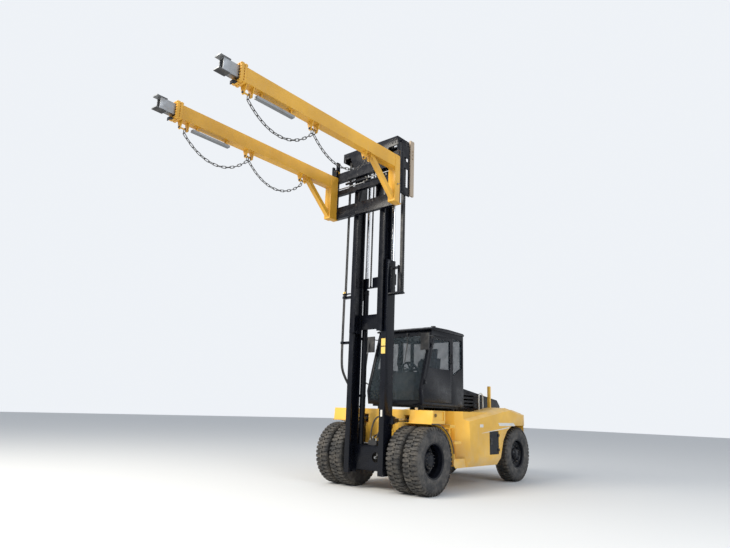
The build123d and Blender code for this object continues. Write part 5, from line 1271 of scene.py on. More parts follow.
@dataclass
class LeafChain:
    """A leaf chain: plates side by side on pins, every second set between the others."""

    finishes: Finishes
    rows: Rows
    pitch: float = 0.022
    depth: float = 0.0150
    offsets: tuple[tuple[float, ...], ...] = ((-0.0158, -0.0053, 0.0053, 0.0158), (-0.0106, 0.0, 0.0106))

    def shape(self) -> bmesh.types.BMesh:
        """Two neighbouring sets of plates with their pins, along Z.

        Returns:
            The shape.
        """
        stock = Stock()
        half = self.depth / 2
        for number, offsets in enumerate(self.offsets):
            middle = (number - 0.5) * self.pitch
            outline = []
            for end, start in ((1, 0), (-1, 180)):
                for turn in (20, 90, 160):
                    angle = radians(start + turn)
                    outline.append((half * cos(angle), middle + end * self.pitch / 2 + half * sin(angle)))
            for y in offsets:
                stock.plate("y", outline, (y - 0.0023, y + 0.0023))
            stock.rod((0, -0.0182, middle + self.pitch / 2), (0, 0.0182, middle + self.pitch / 2), 0.0035, 6)
        return shape_of(stock)

    def straight(self, x: float, y: float, z: Span) -> list[Stand]:
        """Stands down a straight run.

        Args:
            x: The run's place along the machine.
            y: Its place across.
            z: Its lower and upper end.

        Returns:
            The stands.
        """
        count = round((z[1] - z[0]) / (2 * self.pitch))
        step = (z[1] - z[0]) / count
        return [((x, y, z[0] + (number + 0.5) * step), UP) for number in range(count)]

    def arch(self, x: float, y: float, z: float, radius: float) -> list[Stand]:
        """Stands over the upper half of a pulley.

        Args:
            x: The pulley's middle along the machine.
            y: The chain's place across.
            z: The pulley's middle in height.
            radius: The chain's radius on the pulley.

        Returns:
            The stands.
        """
        count = round(pi * radius / (2 * self.pitch))
        stands = []
        for number in range(count):
            angle = pi * (number + 0.5) / count
            place = (x + radius * cos(angle), y, z + radius * sin(angle))
            stands.append((place, (0.0, -angle, 0.0)))
        return stands

    def piece(self, name: str, row: list[Stand], body: str,
              replaces: tuple[str, ...] = ()) -> bpy.types.Object:
        """One run of chain as a piece."""
        return self.rows.piece(name, self.shape(), row, self.finishes["chain"], body, replaces)


@dataclass
class Mast:
    """What the two mast stages carry: cylinders, pulleys, chains, hoses and their clamps."""

    finishes: Finishes
    rows: Rows
    lift: tuple[float, float] = (0.240, 0.345)
    lift_z: tuple[float, float, float] = (0.760, 3.905, 6.7497)
    pulley: Point = (0.440, 0.180, 6.755)
    reach: float = 0.1403
    rear_chain: Span = (3.9453, 6.755)
    front_chain: Span = (6.330, 6.755)
    energy_x: Span = (0.430, 0.500)
    energy_y: Span = (0.722, 0.784)
    energy_z: Span = (3.7203, 6.6897)
    hose_y: tuple[float, float] = (-0.655, -0.620)
    hose_x: float = 0.560
    lower_x: float = 0.594
    hose_sheave: tuple[float, float] = (0.5047, -0.6375)
    rail_out: float = -0.4803
    hose_r: float = 0.0128
    hose_join: float = 3.775
    foot_hose_r: float = 0.0145
    axle_r: float = 0.0262
    clamps: tuple[float, float] = (2.760, 3.700)
    clamp_y: Span = (-0.677, -0.598)
    strap: float = 0.05
    rail_face: float = 0.5705
    tail: Point = (-0.880, 0.545, 1.320)
    eye: Point = (0.290, 0.545, 1.300)

    def lift_cylinders(self) -> None:
        """Round barrels with glands and port blocks, and their bright rods."""
        x, y = self.lift
        low, top, head = self.lift_z
        barrels, rods = Stock(), Stock()
        for hand in (1, -1):
            profile = [(low, 0.0), (low, 0.056), (low + 0.006, 0.0625), (low + 0.045, 0.0625),
                       (low + 0.05, 0.0585), (top - 0.10, 0.0585), (top - 0.095, 0.0635),
                       (top - 0.060, 0.0635), (top - 0.056, 0.060), (top - 0.040, 0.060),
                       (top - 0.036, 0.0635), (top - 0.004, 0.0635), (top, 0.060), (top, 0.046),
                       (top + 0.006, 0.043), (top + 0.006, 0.0)]
            barrels.turned((x, y * hand, 0), (0, 0, 1), profile, 40)
            barrels.block((x - 0.022, x + 0.022), sorted_span((y - 0.085) * hand, (y - 0.045) * hand),
                          (low + 0.06, low + 0.105))
            rods.turned((x, y * hand, 0), (0, 0, 1), [(top - 0.4, 0.0), (top - 0.4, 0.038),
                                                      (head - 0.02, 0.038), (head - 0.018, 0.034),
                                                      (head, 0.034), (head, 0.0)], 40)
        barrels.piece("lift_barrels_turned", self.finishes["black"], "outer_mast", replaces=("lift_barrels",))
        rods.piece("lift_rods_polished", self.finishes["chrome"], "inner_mast", replaces=("lift_rods",))
        straps = Stock()
        for hand in (1, -1):
            for z in (1.72, 2.86):
                band = [(0, 0.0590), (0, 0.0650), (self.strap, 0.0650), (self.strap, 0.0590)]
                straps.turned((x, y * hand, z), (0, 0, 1), band, 32, closed=True)
                straps.block((x + 0.058, 0.3205), sorted_span((y - 0.028) * hand, (y + 0.028) * hand),
                             (z, z + self.strap))
        straps.piece("lift_barrel_straps", self.finishes["black"], "outer_mast", ease=0.0015)
        feed = Stock()
        for hand in (1, -1):
            feed.pipe([(x, 0.262 * hand, low + 0.085), (x, 0.20 * hand, low + 0.085),
                       (x, 0.15 * hand, low + 0.085), (x, 0.12 * hand, low + 0.10),
                       (x + 0.02, 0.10 * hand, low + 0.125)], 0.0095)
            feed.turned((x, 0.262 * hand, low + 0.085), (0, -hand, 0), [(0, 0.016), (0.022, 0.016)], 6)
        feed.piece("lift_feed_pipes", self.finishes["pale_steel"], "outer_mast")
        valve = Stock().block((0.235, 0.312), (-0.105, 0.105), (0.820, 0.905))
        valve.block((0.252, 0.3155), (-0.04, 0.06), (0.80, 0.822))
        valve.block((0.25, 0.30), (-0.03, 0.03), (0.905, 0.945))
        valve.piece("lift_valve_block", self.finishes["cast"], "outer_mast", ease=0.003)

    def tilt_cylinders(self) -> None:
        """Round tilt barrels and rods with their eyes, glands and grease nipples."""
        (x0, y, z0), (x1, _, z1) = self.tail, self.eye
        length = ((x1 - x0) ** 2 + (z1 - z0) ** 2) ** 0.5
        way = (x1 - x0, 0.0, z1 - z0)
        barrels, rods, ports = Stock(), Stock(), Stock()
        for hand in (1, -1):
            start = (x0, y * hand, z0)
            profile = [(0.040, 0.0), (0.040, 0.024), (0.070, 0.026), (0.072, 0.054), (0.078, 0.0575),
                       (0.660, 0.0575), (0.664, 0.0615), (0.690, 0.0615), (0.694, 0.0575), (0.735, 0.0575),
                       (0.740, 0.0545), (0.760, 0.0535), (0.760, 0.036), (0.766, 0.034), (0.766, 0.0)]
            barrels.turned(start, way, profile, 36)
            ring = [(-0.025, 0.0205), (-0.025, 0.043), (-0.022, 0.046), (0.022, 0.046), (0.025, 0.043),
                    (0.025, 0.0205)]
            barrels.turned(start, (0, 1, 0), ring, 32, closed=True)
            rods.turned(start, way, [(length - 0.76, 0.0), (length - 0.76, 0.030), (length - 0.075, 0.030),
                                     (length - 0.070, 0.040), (length - 0.045, 0.040),
                                     (length - 0.045, 0.0)], 36)
            ring = [(-0.025, 0.0345), (-0.025, 0.054), (-0.022, 0.057), (0.022, 0.057), (0.025, 0.054),
                    (0.025, 0.0345)]
            rods.turned((x1, y * hand, z1), (0, 1, 0), ring, 32, closed=True)
            for share in (0.13, 0.69):
                px, pz = x0 + (x1 - x0) * share / length, z0 + (z1 - z0) * share / length
                ports.block((px - 0.018, px + 0.018), sorted_span((y - 0.02) * hand, (y + 0.02) * hand),
                            (pz + 0.052, pz + 0.074))
        barrels.piece("tilt_barrels_turned", self.finishes["black"], "tilt_barrels",
                      replaces=("tilt_barrels",))
        rods.piece("tilt_rods_polished", self.finishes["chrome"], "tilt_rods", replaces=("tilt_rods",))
        ports.piece("tilt_ports", self.finishes["cast"], "tilt_barrels", ease=0.002)

    def pulleys(self) -> None:
        """Turned head pulleys and the smaller double pulley of the hoses."""
        x, y, z = self.pulley
        wheels = Stock()
        for hand in (1, -1):
            profile = [(-0.0297, 0.026), (-0.0297, 0.044), (-0.022, 0.050), (-0.014, 0.056), (-0.014, 0.112),
                       (-0.022, 0.118), (-0.0297, 0.124), (-0.0297, 0.147), (-0.026, 0.150), (-0.022, 0.147),
                       (-0.0205, 0.1318), (0.0205, 0.1318), (0.022, 0.147), (0.026, 0.150), (0.0297, 0.147),
                       (0.0297, 0.124), (0.022, 0.118), (0.014, 0.112), (0.014, 0.056), (0.022, 0.050),
                       (0.0297, 0.044), (0.0297, 0.026)]
            wheels.turned((x, y * hand, z), (0, 1, 0), profile, 48, closed=True)
            wheels.rod((x, (y - 0.037) * hand, z), (x, (y + 0.037) * hand, z), self.axle_r, 24)
        x, y = self.hose_sheave
        grooves = []
        for middle in (-0.0175, 0.0175):
            grooves += [(middle - 0.016, 0.060), (middle - 0.012, 0.046), (middle, 0.0418),
                        (middle + 0.012, 0.046), (middle + 0.016, 0.060)]
        profile = [(-0.040, 0.026), (-0.040, 0.060)] + grooves + [(0.040, 0.060), (0.040, 0.026)]
        wheels.turned((x, y, z), (0, 1, 0), profile, 40, closed=True)
        wheels.rod((x, y - 0.049, z), (x, y + 0.049, z), self.axle_r, 20)
        wheels.block((x - 0.015, x + 0.015), (y - 0.0565, y - 0.0465), (z - 0.03, 6.924))
        wheels.block((x - 0.015, x + 0.015), (y + 0.0465, y + 0.0565), (z - 0.03, 6.924))
        wheels.piece("head_pulleys_turned", self.finishes["cast"], "inner_mast", replaces=("head_pulleys",))

    def chains(self) -> None:
        """The lift chains as leaf chains, with their anchor bolts."""
        chain = LeafChain(self.finishes, self.rows)
        x, y, z = self.pulley
        rear = [stand for hand in (1, -1) for stand in chain.straight(x - self.reach, y * hand,
                                                                      self.rear_chain)]
        run = chain.piece("rear_chain_runs", rear, "", ("rear_chains",))
        stretched(run)
        front = [stand for hand in (1, -1) for stand in chain.straight(x + self.reach, y * hand,
                                                                       self.front_chain)]
        run = chain.piece("front_chain_runs", front, "", ("front_chains",))
        stretched(run)
        arches = [stand for hand in (1, -1) for stand in chain.arch(x, y * hand, z, self.reach)]
        chain.piece("chain_arches", arches, "inner_mast")
        anchors = Stock()
        for hand in (1, -1):
            low = self.rear_chain[0]
            anchors.block((x - self.reach - 0.010, x - self.reach + 0.010),
                          sorted_span((y - 0.020) * hand, (y + 0.020) * hand), (low, low + 0.028))
        anchors.piece("rear_chain_anchors", self.finishes["black"], "outer_mast", ease=0.002)

    def energy_chain(self) -> None:
        """The plastic link chain that guides the hoses, with the hoses inside it."""
        (x0, x1), (y0, y1), (z0, z1) = self.energy_x, self.energy_y, self.energy_z
        mx, my = (x0 + x1) / 2, (y0 + y1) / 2
        hx, hy = (x1 - x0) / 2, (y1 - y0) / 2
        stock = Stock()
        for side in (1, -1):
            plan = [(-0.021, -hy), (0.012, -hy), (0.024, -hy + 0.014), (0.024, hy - 0.014), (0.012, hy),
                    (-0.021, hy)]
            outline = [(b, a) for a, b in plan]
            stock.plate("x", outline, sorted_span(side * hx, side * (hx - 0.007)))
            stock.plate("x", [(b * 0.86, a - 0.012) for a, b in plan],
                        sorted_span(side * (hx - 0.007), side * (hx - 0.013)))
        for side in (1, -1):
            stock.block((-hx + 0.006, hx - 0.006), sorted_span(side * hy * 0.98, side * (hy - 0.006)),
                        (-0.010, 0.004))
        count = round((z1 - z0) / 0.046)
        step = (z1 - z0) / count
        row = [((mx, my, z0 + (number + 0.5) * step), UP) for number in range(count)]
        links = self.rows.piece("energy_chain_links", shape_of(stock), row, self.finishes["plastic"], "",
                                ("energy_chain",))
        stretched(links)
        inside = Stock()
        for x, y, radius in ((mx - 0.014, my - 0.006, 0.010), (mx + 0.012, my + 0.008, 0.010),
                             (mx, my + 0.016, 0.006)):
            inside.rod((x, y, z0 + 0.002), (x, y, z1 + 0.01), radius, 10)
        hoses = inside.piece("energy_chain_hoses", self.finishes["rubber"], "")
        stretched(hoses)
        ends = Stock().block((x0 + 0.004, x1 - 0.004), (y0 + 0.004, 0.7905), (z1 - 0.05, z1 - 0.002))
        ends.piece("energy_chain_end", self.finishes["pale_steel"], "inner_mast", ease=0.002)

    def hoses(self) -> None:
        """The pair of hoses from the pulley down the right side of the mast."""
        _, _, z = self.pulley
        runs, arches, lower, hardware, fittings, upper = (Stock() for _ in range(6))
        join = self.hose_join
        px = self.hose_sheave[0]
        reach = self.hose_x - px
        for y in self.hose_y:
            runs.rod((self.hose_x, y, join), (self.hose_x, y, z + 0.002), self.hose_r, 14)
            bend = [(px + reach * cos(radians(turn)), y,
                     z + reach * sin(radians(turn))) for turn in range(0, 181, 15)]
            arches.pipe(bend + [(px - reach, y, 6.70), (px - reach, y, 6.60)], self.hose_r, order=3)
            upper.rod((px - reach, y, 6.545), (px - reach, y, 6.605), 0.017, 6)
            fittings.rod((self.hose_x, y, join - 0.018), (self.hose_x, y, join + 0.03), 0.0165, 6)
            fittings.rod((self.lower_x, y, join + 0.030), (self.lower_x, y, join + 0.072), 0.0165, 6)
            lower.pipe([(self.lower_x, y, join + 0.06), (self.lower_x, y, join - 0.1), (self.lower_x, y, 3.4),
                        (self.lower_x, y, 2.9), (self.lower_x, y, 2.5), (self.lower_x - 0.01, y + 0.01, 2.25),
                        (self.lower_x - 0.12, y + 0.03, 2.05), (0.33, y + 0.06, 1.86), (0.29, y + 0.09, 1.68),
                        (0.285, y + 0.17, 1.56), (0.28, y + 0.25, 1.52)], self.hose_r)
        arches.block((px - reach - 0.018, px - reach + 0.012), (-0.680, -0.596), (6.53, 6.548))
        run = runs.piece("upper_hose_runs", self.finishes["rubber"], "", replaces=("upper_hoses",))
        stretched(run)
        arches.piece("upper_hose_arches", self.finishes["rubber"], "inner_mast")
        for z0 in self.clamps:
            hardware.block((0.510, 0.580), (self.clamp_y[0], self.rail_out), (z0, z0 + self.strap))
            hardware.block((0.576, 0.612), self.clamp_y, (z0, z0 + self.strap))
        hardware.block((0.542, 0.612), (-0.676, -0.600), (join + 0.004, join + 0.030))
        hardware.block((0.575, 0.600), (-0.604, self.rail_out), (join + 0.004, join + 0.030))
        lower.piece("lower_hose_runs", self.finishes["rubber"], "outer_mast", replaces=("lower_hoses",))
        hardware.piece("hose_clamps", self.finishes["black"], "outer_mast", ease=0.002)
        head = Stock()
        head.block((px - reach - 0.018, px - reach - 0.012), (-0.680, -0.596), (6.53, 6.70))
        head.piece("hose_head_bracket", self.finishes["black"], "inner_mast", ease=0.001)
        fittings.piece("hose_fittings", self.finishes["brass"], "outer_mast")
        upper.piece("hose_head_fittings", self.finishes["brass"], "inner_mast")

    def front_hoses(self) -> None:
        """The slack hoses between the chassis's front plate and the foot of the mast."""
        runs = [
            [(-0.13, 0.02, 1.24), (-0.04, 0.02, 1.27), (0.06, 0.0, 1.37), (0.17, -0.05, 1.34),
             (0.235, -0.085, 1.16), (0.26, -0.085, 1.0), (0.262, -0.085, 0.90)],
            [(-0.13, 0.11, 1.17), (-0.03, 0.12, 1.19), (0.06, 0.13, 1.26), (0.16, 0.12, 1.20),
             (0.24, 0.09, 1.06), (0.27, 0.08, 0.96), (0.272, 0.08, 0.90)],
            [(-0.13, 0.05, 1.12), (-0.04, 0.05, 1.10), (0.05, 0.03, 1.02), (0.15, 0.01, 1.02),
             (0.24, -0.01, 0.99), (0.275, -0.01, 0.96), (0.275, -0.01, 0.94)],
            [(-0.13, 0.15, 1.33), (-0.03, 0.16, 1.34), (0.07, 0.19, 1.28), (0.16, 0.17, 1.12),
             (0.22, 0.06, 0.98), (0.255, 0.05, 0.94), (0.258, 0.05, 0.90)],
        ]
        stock = Stock()
        for run in runs:
            stock.pipe(run, self.foot_hose_r, order=4, along=8)
        piece = stock.piece("mast_foot_hoses", self.finishes["rubber"], "")
        stretched(piece)
        ends = Stock()
        for run in runs:
            x, y, z = run[-1]
            ends.rod((x, y, 0.898), (x, y, z + 0.045), 0.0185, 6)
        ends.piece("mast_foot_hose_ends", self.finishes["bolt"], "outer_mast")

    def fastenings(self) -> None:
        """Bolts on the cross plates, crosshead, guide and mast's feet, and the foot's hose fitting."""
        tie = [((0.2815, y, z), BACKWARD) for y in (-0.42, -0.32, 0.32, 0.42) for z in (3.965, 4.095)]
        foot = [((0.3155, y, z), BACKWARD) for y in (-0.43, 0.43) for z in (0.69, 0.77)]
        self.rows.piece("outer_mast_bolts", bolt(0.030, 0.014), tie + foot, self.finishes["cast"],
                        "outer_mast")
        head = [((0.690, y, z), FORWARD) for y in (-0.70, -0.62, 0.62, 0.70) for z in (6.82, 6.89)]
        side = [((x, 0.812, z), LEFT) for x in (0.40, 0.50) for z in (6.80, 6.85)]
        side += [((x, 0.812, z), LEFT) for x in (0.370, 0.600) for z in (5.73, 6.22, 6.60)]
        self.rows.piece("inner_mast_bolts", bolt(0.026, 0.012), head + side, self.finishes["cast"],
                        "inner_mast")
        fitting = Stock()
        fitting.rod((0.300, 0.12, 0.60), (0.352, 0.12, 0.60), 0.030, 6)
        fitting.rod((0.345, 0.12, 0.60), (0.372, 0.12, 0.60), 0.018, 16)
        fitting.pipe([(0.31, 0.12, 0.60), (0.29, 0.12, 0.62), (0.275, 0.10, 0.70), (0.275, 0.05, 0.80)],
                     0.011)
        fitting.piece("foot_fitting", self.finishes["pale_steel"], "outer_mast")

    def labels(self) -> None:
        """Blank labels on the left rail, as on the real mast."""
        depth = (self.rail_face - 0.002, self.rail_face + 0.001)
        notices = Stock()
        for z in ((2.53, 2.66), (2.68, 2.82)):
            notices.block(depth, (0.370, 0.470), z)
        notices.piece("rail_notices", self.finishes["notice"], "outer_mast", ease=0.0005)
        label = Stock().block(depth, (0.395, 0.440), (1.36, 1.48))
        label.piece("rail_label", self.finishes["label"], "outer_mast", ease=0.0005)

    def build(self) -> None:
        """Builds all of it."""
        self.lift_cylinders()
        self.tilt_cylinders()
        self.pulleys()
        self.chains()
        self.energy_chain()
        self.hoses()
        self.front_hoses()
        self.fastenings()
        self.labels()


@dataclass
class Arm:
    """One lifting arm's trim: slung chains, collar bolts, tip pads and black hooks."""

    finishes: Finishes
    rows: Rows
    hand: int
    side: str
    y: float = 0.870
    top: float = 6.360
    height: float = 0.250
    ears: tuple[float, float, float] = (4.500, 3.130, 1.760)
    pin_z: float = 5.985
    pin_r: float = 0.014
    wire: float = 0.014
    width: float = 0.052
    sag: float = 0.330
    pitch: float = 0.092
    drop: float = 0.096
    off: float = 0.024
    play: float = 0.0013
    clear: float = 0.0003
    bow: float = 0.027
    collar_x: tuple[float, float, float] = (4.610, 4.657, 4.715)
    bolt_y: float = 0.094
    half: float = 0.0705

    def link(self, length: float) -> bmesh.types.BMesh:
        """One oval link lying flat along X.

        Args:
            length: Distance between the middles of its rounded ends' bars.

        Returns:
            The shape.
        """
        r = self.wire / 2
        bend = self.width / 2 - r
        half = (length + 2 * r + self.play) / 2 - bend
        path = []
        for end, start in ((1, -90), (-1, 90)):
            for turn in (0, 30, 60, 90, 120, 150, 180):
                angle = radians(start + turn)
                path.append((end * half + bend * cos(angle), bend * sin(angle)))
        stock = Stock()
        rings = []
        for index, (px, py) in enumerate(path):
            before, after = path[index - 1], path[(index + 1) % len(path)]
            way = Vector((after[0] - before[0], after[1] - before[1], 0)).normalized()
            out = Vector((way.y, -way.x, 0))
            rings.append([stock.vertex(px + out.x * r * cos(t), py + out.y * r * cos(t), r * sin(t))
                          for t in (2 * pi * step / 8 for step in range(8))])
        for first, second in zip(rings, rings[1:] + rings[:1]):
            stock.band(first, second)
        return shape_of(stock)

    def catenary(self, span: float) -> float:
        """The parameter a of y = a cosh(x / a) for a span and the chain's sag.

        Args:
            span: Distance between the ends.

        Returns:
            The parameter in metres.
        """
        low, high = span / 20, span * 20
        for _ in range(80):
            middle = (low + high) / 2
            if middle * (cosh(span / 2 / middle) - 1) > self.sag:
                low = middle
            else:
                high = middle
        return (low + high) / 2

    def slung(self, front: float, rear: float) -> tuple[float, list[Stand]]:
        """The links between two ears.

        Args:
            front: Where the front shackle hangs.
            rear: Where the rear one hangs.

        Returns:
            The links' pitch and their stands.
        """
        span = front - rear + self.wire + self.play
        a = self.catenary(span)
        length = 2 * a * sinh(span / 2 / a)
        count = round(length / self.pitch / 2 + 0.5) * 2 - 1
        pitch = length / count
        top = self.pin_z + self.pin_r + self.clear - self.drop + self.wire / 2
        stands = []
        for number in range(count):
            s = (number + 0.5) * pitch - length / 2
            x = a * asinh(s / a)
            z = top - self.sag + a * (cosh(x / a) - 1)
            slope = atan2(sinh(x / a), 1)
            roll = pi / 2 if number % 2 == 0 else 0.0
            stands.append((((front + rear) / 2 + x, self.y * self.hand, z), (roll, -slope, 0.0)))
        return pitch, stands

    def chains(self) -> None:
        """Both slung chains of an arm with their shackles."""
        row = []
        rings = Stock(self.hand)
        for front, rear in zip(self.ears[:-1], self.ears[1:]):
            pitch, stands = self.slung(front - self.off, rear + self.off)
            row += stands
            for x in (front - self.off, rear + self.off):
                top = self.pin_z + self.pin_r + self.clear + self.wire / 2
                low = top - self.drop
                arc = [(x, self.y + self.bow * cos(radians(t)), top - self.bow + self.bow * sin(radians(t)))
                       for t in range(0, 181, 30)]
                arc += [(x, self.y + self.bow * cos(radians(t)), low + self.bow + self.bow * sin(radians(t)))
                        for t in range(180, 361, 30)]
                rings.pipe(arc, self.wire / 2, order=3, closed=True, along=3)
        self.rows.piece(f"chain_links_{self.side}", self.link(pitch), row, self.finishes["chain"],
                        f"arm_{self.side}", (f"chains_{self.side}",))
        rings.piece(f"chain_shackles_{self.side}", self.finishes["chain"], f"arm_{self.side}")

    def collar(self) -> None:
        """The ring of clamp bolts round the beam's mouth."""
        low = self.top - self.height
        rear, middle, front = self.collar_x
        places = []
        for number in range(7):
            z = low - 0.012 + (self.height + 0.024) * number / 6
            places += [(self.bolt_y, z), (-self.bolt_y, z)]
        for number in range(1, 4):
            y = -self.bolt_y + 2 * self.bolt_y * number / 4
            places += [(y, self.top + 0.014), (y, low - 0.014)]
        spacer = Stock()
        spacer.turned((-0.010, 0, 0), (1, 0, 0), [(0, 0.0125), (0.020, 0.0125)], 10)
        row = [((middle, self.y * self.hand + y, z), UP) for y, z in places]
        self.rows.piece(f"collar_spacers_{self.side}", shape_of(spacer), row, self.finishes["ochre"],
                        f"arm_{self.side}")
        row = [((front, self.y * self.hand + y, z), FORWARD) for y, z in places]
        row += [((rear, self.y * self.hand + y, z), BACKWARD) for y, z in places]
        self.rows.piece(f"collar_bolts_{self.side}", bolt(0.024, 0.011), row, self.finishes["ochre"],
                        f"arm_{self.side}")

    def pads(self) -> None:
        """Black pads on the tube's tip, the collar's stay, the hook's cover and the hanger bar's lugs."""
        pads = Stock(self.hand)
        y0, y1 = self.y - self.half, self.y + self.half
        high, low = self.top - 0.025, self.top - 0.225
        pads.block((4.8745, 5.0649), (y0, y1), (high + 0.0005, high + 0.0168))
        pads.block((4.8745, 5.0649), (y0, y1), (low - 0.0168, low - 0.0005))
        pads.piece(f"tip_pads_{self.side}", self.finishes["plastic"], f"tube_{self.side}", ease=0.003)
        under = self.top - self.height - 0.028
        stay = Stock(self.hand)
        stay.block((4.7155, 4.791), (self.y - 0.041, self.y + 0.041), (under - 0.015, under - 0.0002))
        stay.block((4.775, 4.791), (self.y - 0.041, self.y + 0.041), (under - 0.056, under - 0.014))
        stay.piece(f"collar_stay_{self.side}", self.finishes["black"], f"arm_{self.side}", ease=0.002)
        hook = Stock(self.hand)
        hook.block((0.8000, 0.868), (self.y - 0.0855, self.y + 0.0455), (6.362, 6.5105))
        hook.piece(f"hook_cover_{self.side}", self.finishes["black"], f"arm_{self.side}", ease=0.003)
        lugs = Stock(self.hand)
        for x in (3.650, 4.250):
            lugs.block((x - 0.011, x + 0.011), (self.y - 0.031, self.y + 0.031), (6.034, 6.110))
            lugs.block((x - 0.030, x + 0.030), (self.y - 0.043, self.y + 0.043), (6.0345, 6.044))
            lugs.block((x - 0.055, x + 0.055), (self.y - 0.036, self.y + 0.036), (6.1005, 6.1105))
        lugs.piece(f"hanger_lugs_{self.side}", self.finishes["ochre"], f"arm_{self.side}", ease=0.0015)

    def fastenings(self) -> None:
        """The ear pins' heads and the post's lock screw."""
        row = []
        for x in self.ears:
            for end, turn in ((0.086, FORWARD), (-0.086, BACKWARD)):
                row.append(((x + end, self.y * self.hand, self.pin_z), turn))
        self.rows.piece(f"ear_pin_heads_{self.side}", bolt(0.036, 0.008), row, self.finishes["cast"],
                        f"arm_{self.side}")
        screw = Stock(self.hand)
        screw.rod((0.93, self.y + 0.085, 5.75), (0.93, self.y + 0.105, 5.75), 0.016, 6)
        screw.rod((0.93, self.y + 0.10, 5.75), (0.93, self.y + 0.135, 5.75), 0.008, 12)
        screw.piece(f"post_lock_screw_{self.side}", self.finishes["bolt"], f"arm_{self.side}")

    def build(self) -> None:
        """Builds the arm's trim."""
        self.chains()
        self.collar()
        self.pads()
        self.fastenings()


@dataclass
class Carriage:
    """The carriage's trim: positioner glands, their hoses, the valve block and plate bolts."""

    finishes: Finishes
    rows: Rows
    x: float = 0.760
    lines: tuple[float, float] = (6.180, 6.105)
    front: float = 0.800
    tail_y: float = 0.580
    mouth_y: float = 0.040
    port: float = 0.036
    hose_r: float = 0.0065

    def positioners(self) -> None:
        """Glands and ports on the positioners' barrels."""
        glands, bosses = Stock(), Stock()
        for z, hand in zip(self.lines, (1, -1)):
            glands.turned((self.x, (self.mouth_y - 0.03) * hand, z), (0, hand, 0),
                          [(0, 0.0243), (0, 0.0275), (0.032, 0.0275), (0.036, 0.025), (0.036, 0.0145),
                           (0, 0.0145)],
                          24, closed=True)
            for y in (-self.tail_y + 0.05, self.mouth_y - 0.06):
                bosses.block((self.x - 0.009, self.x + 0.009),
                             sorted_span((y - 0.009) * hand, (y + 0.009) * hand), (z + 0.021, z + 0.038))
        glands.piece("positioner_glands", self.finishes["cast"], "carriage")
        bosses.piece("positioner_ports", self.finishes["bolt"], "carriage", ease=0.001)

    def hoses(self) -> None:
        """Thin hoses from the valve block to the positioners' ports."""
        high, low = self.lines
        top, foot = high + self.port, low + self.port
        stock = Stock()
        for line in (
                [(self.x, -0.53, top), (0.755, -0.53, high + 0.07), (0.74, -0.45, 6.235),
                 (0.735, -0.30, 6.225), (0.735, -0.12, 6.235), (0.735, -0.06, 6.215)],
                [(self.x, -0.02, top), (0.757, -0.02, high + 0.055), (0.745, -0.05, 6.242),
                 (0.735, -0.08, 6.215)],
                [(self.x, 0.53, foot), (0.74, 0.53, 6.17), (0.725, 0.50, 6.225), (0.725, 0.35, 6.235),
                 (0.725, 0.10, 6.225), (0.73, 0.01, 6.20)],
                [(self.x, 0.02, foot), (0.745, 0.02, 6.15), (0.735, 0.0, 6.16), (0.73, -0.01, 6.18)]):
            stock.pipe(line, self.hose_r)
        stock.piece("positioner_hoses", self.finishes["rubber"], "carriage")
        block = Stock().block((0.712, 0.742), (-0.10, 0.03), (6.06, 6.20))
        block.block((0.742, 0.756), (-0.08, -0.045), (6.075, 6.095))
        block.block((0.742, 0.752), (0.0, 0.02), (6.07, 6.085))
        block.piece("carriage_valve_block", self.finishes["pale_steel"], "carriage", ease=0.003)

    def fastenings(self) -> None:
        """Bolts on the end plates and along the beams."""
        beams = (5.46, 5.62, 6.30, 6.42)
        row = [((self.front, hand * 0.845, z), FORWARD) for hand in (1, -1) for z in beams + (6.70,)]
        row += [((self.front, y, z), FORWARD) for y in (-0.22, 0.22) for z in beams]
        self.rows.piece("carriage_bolts", bolt(0.028, 0.004), row, self.finishes["cast"], "carriage")

    def build(self) -> None:
        """Builds the carriage's trim."""
        self.positioners()
        self.hoses()
        self.fastenings()


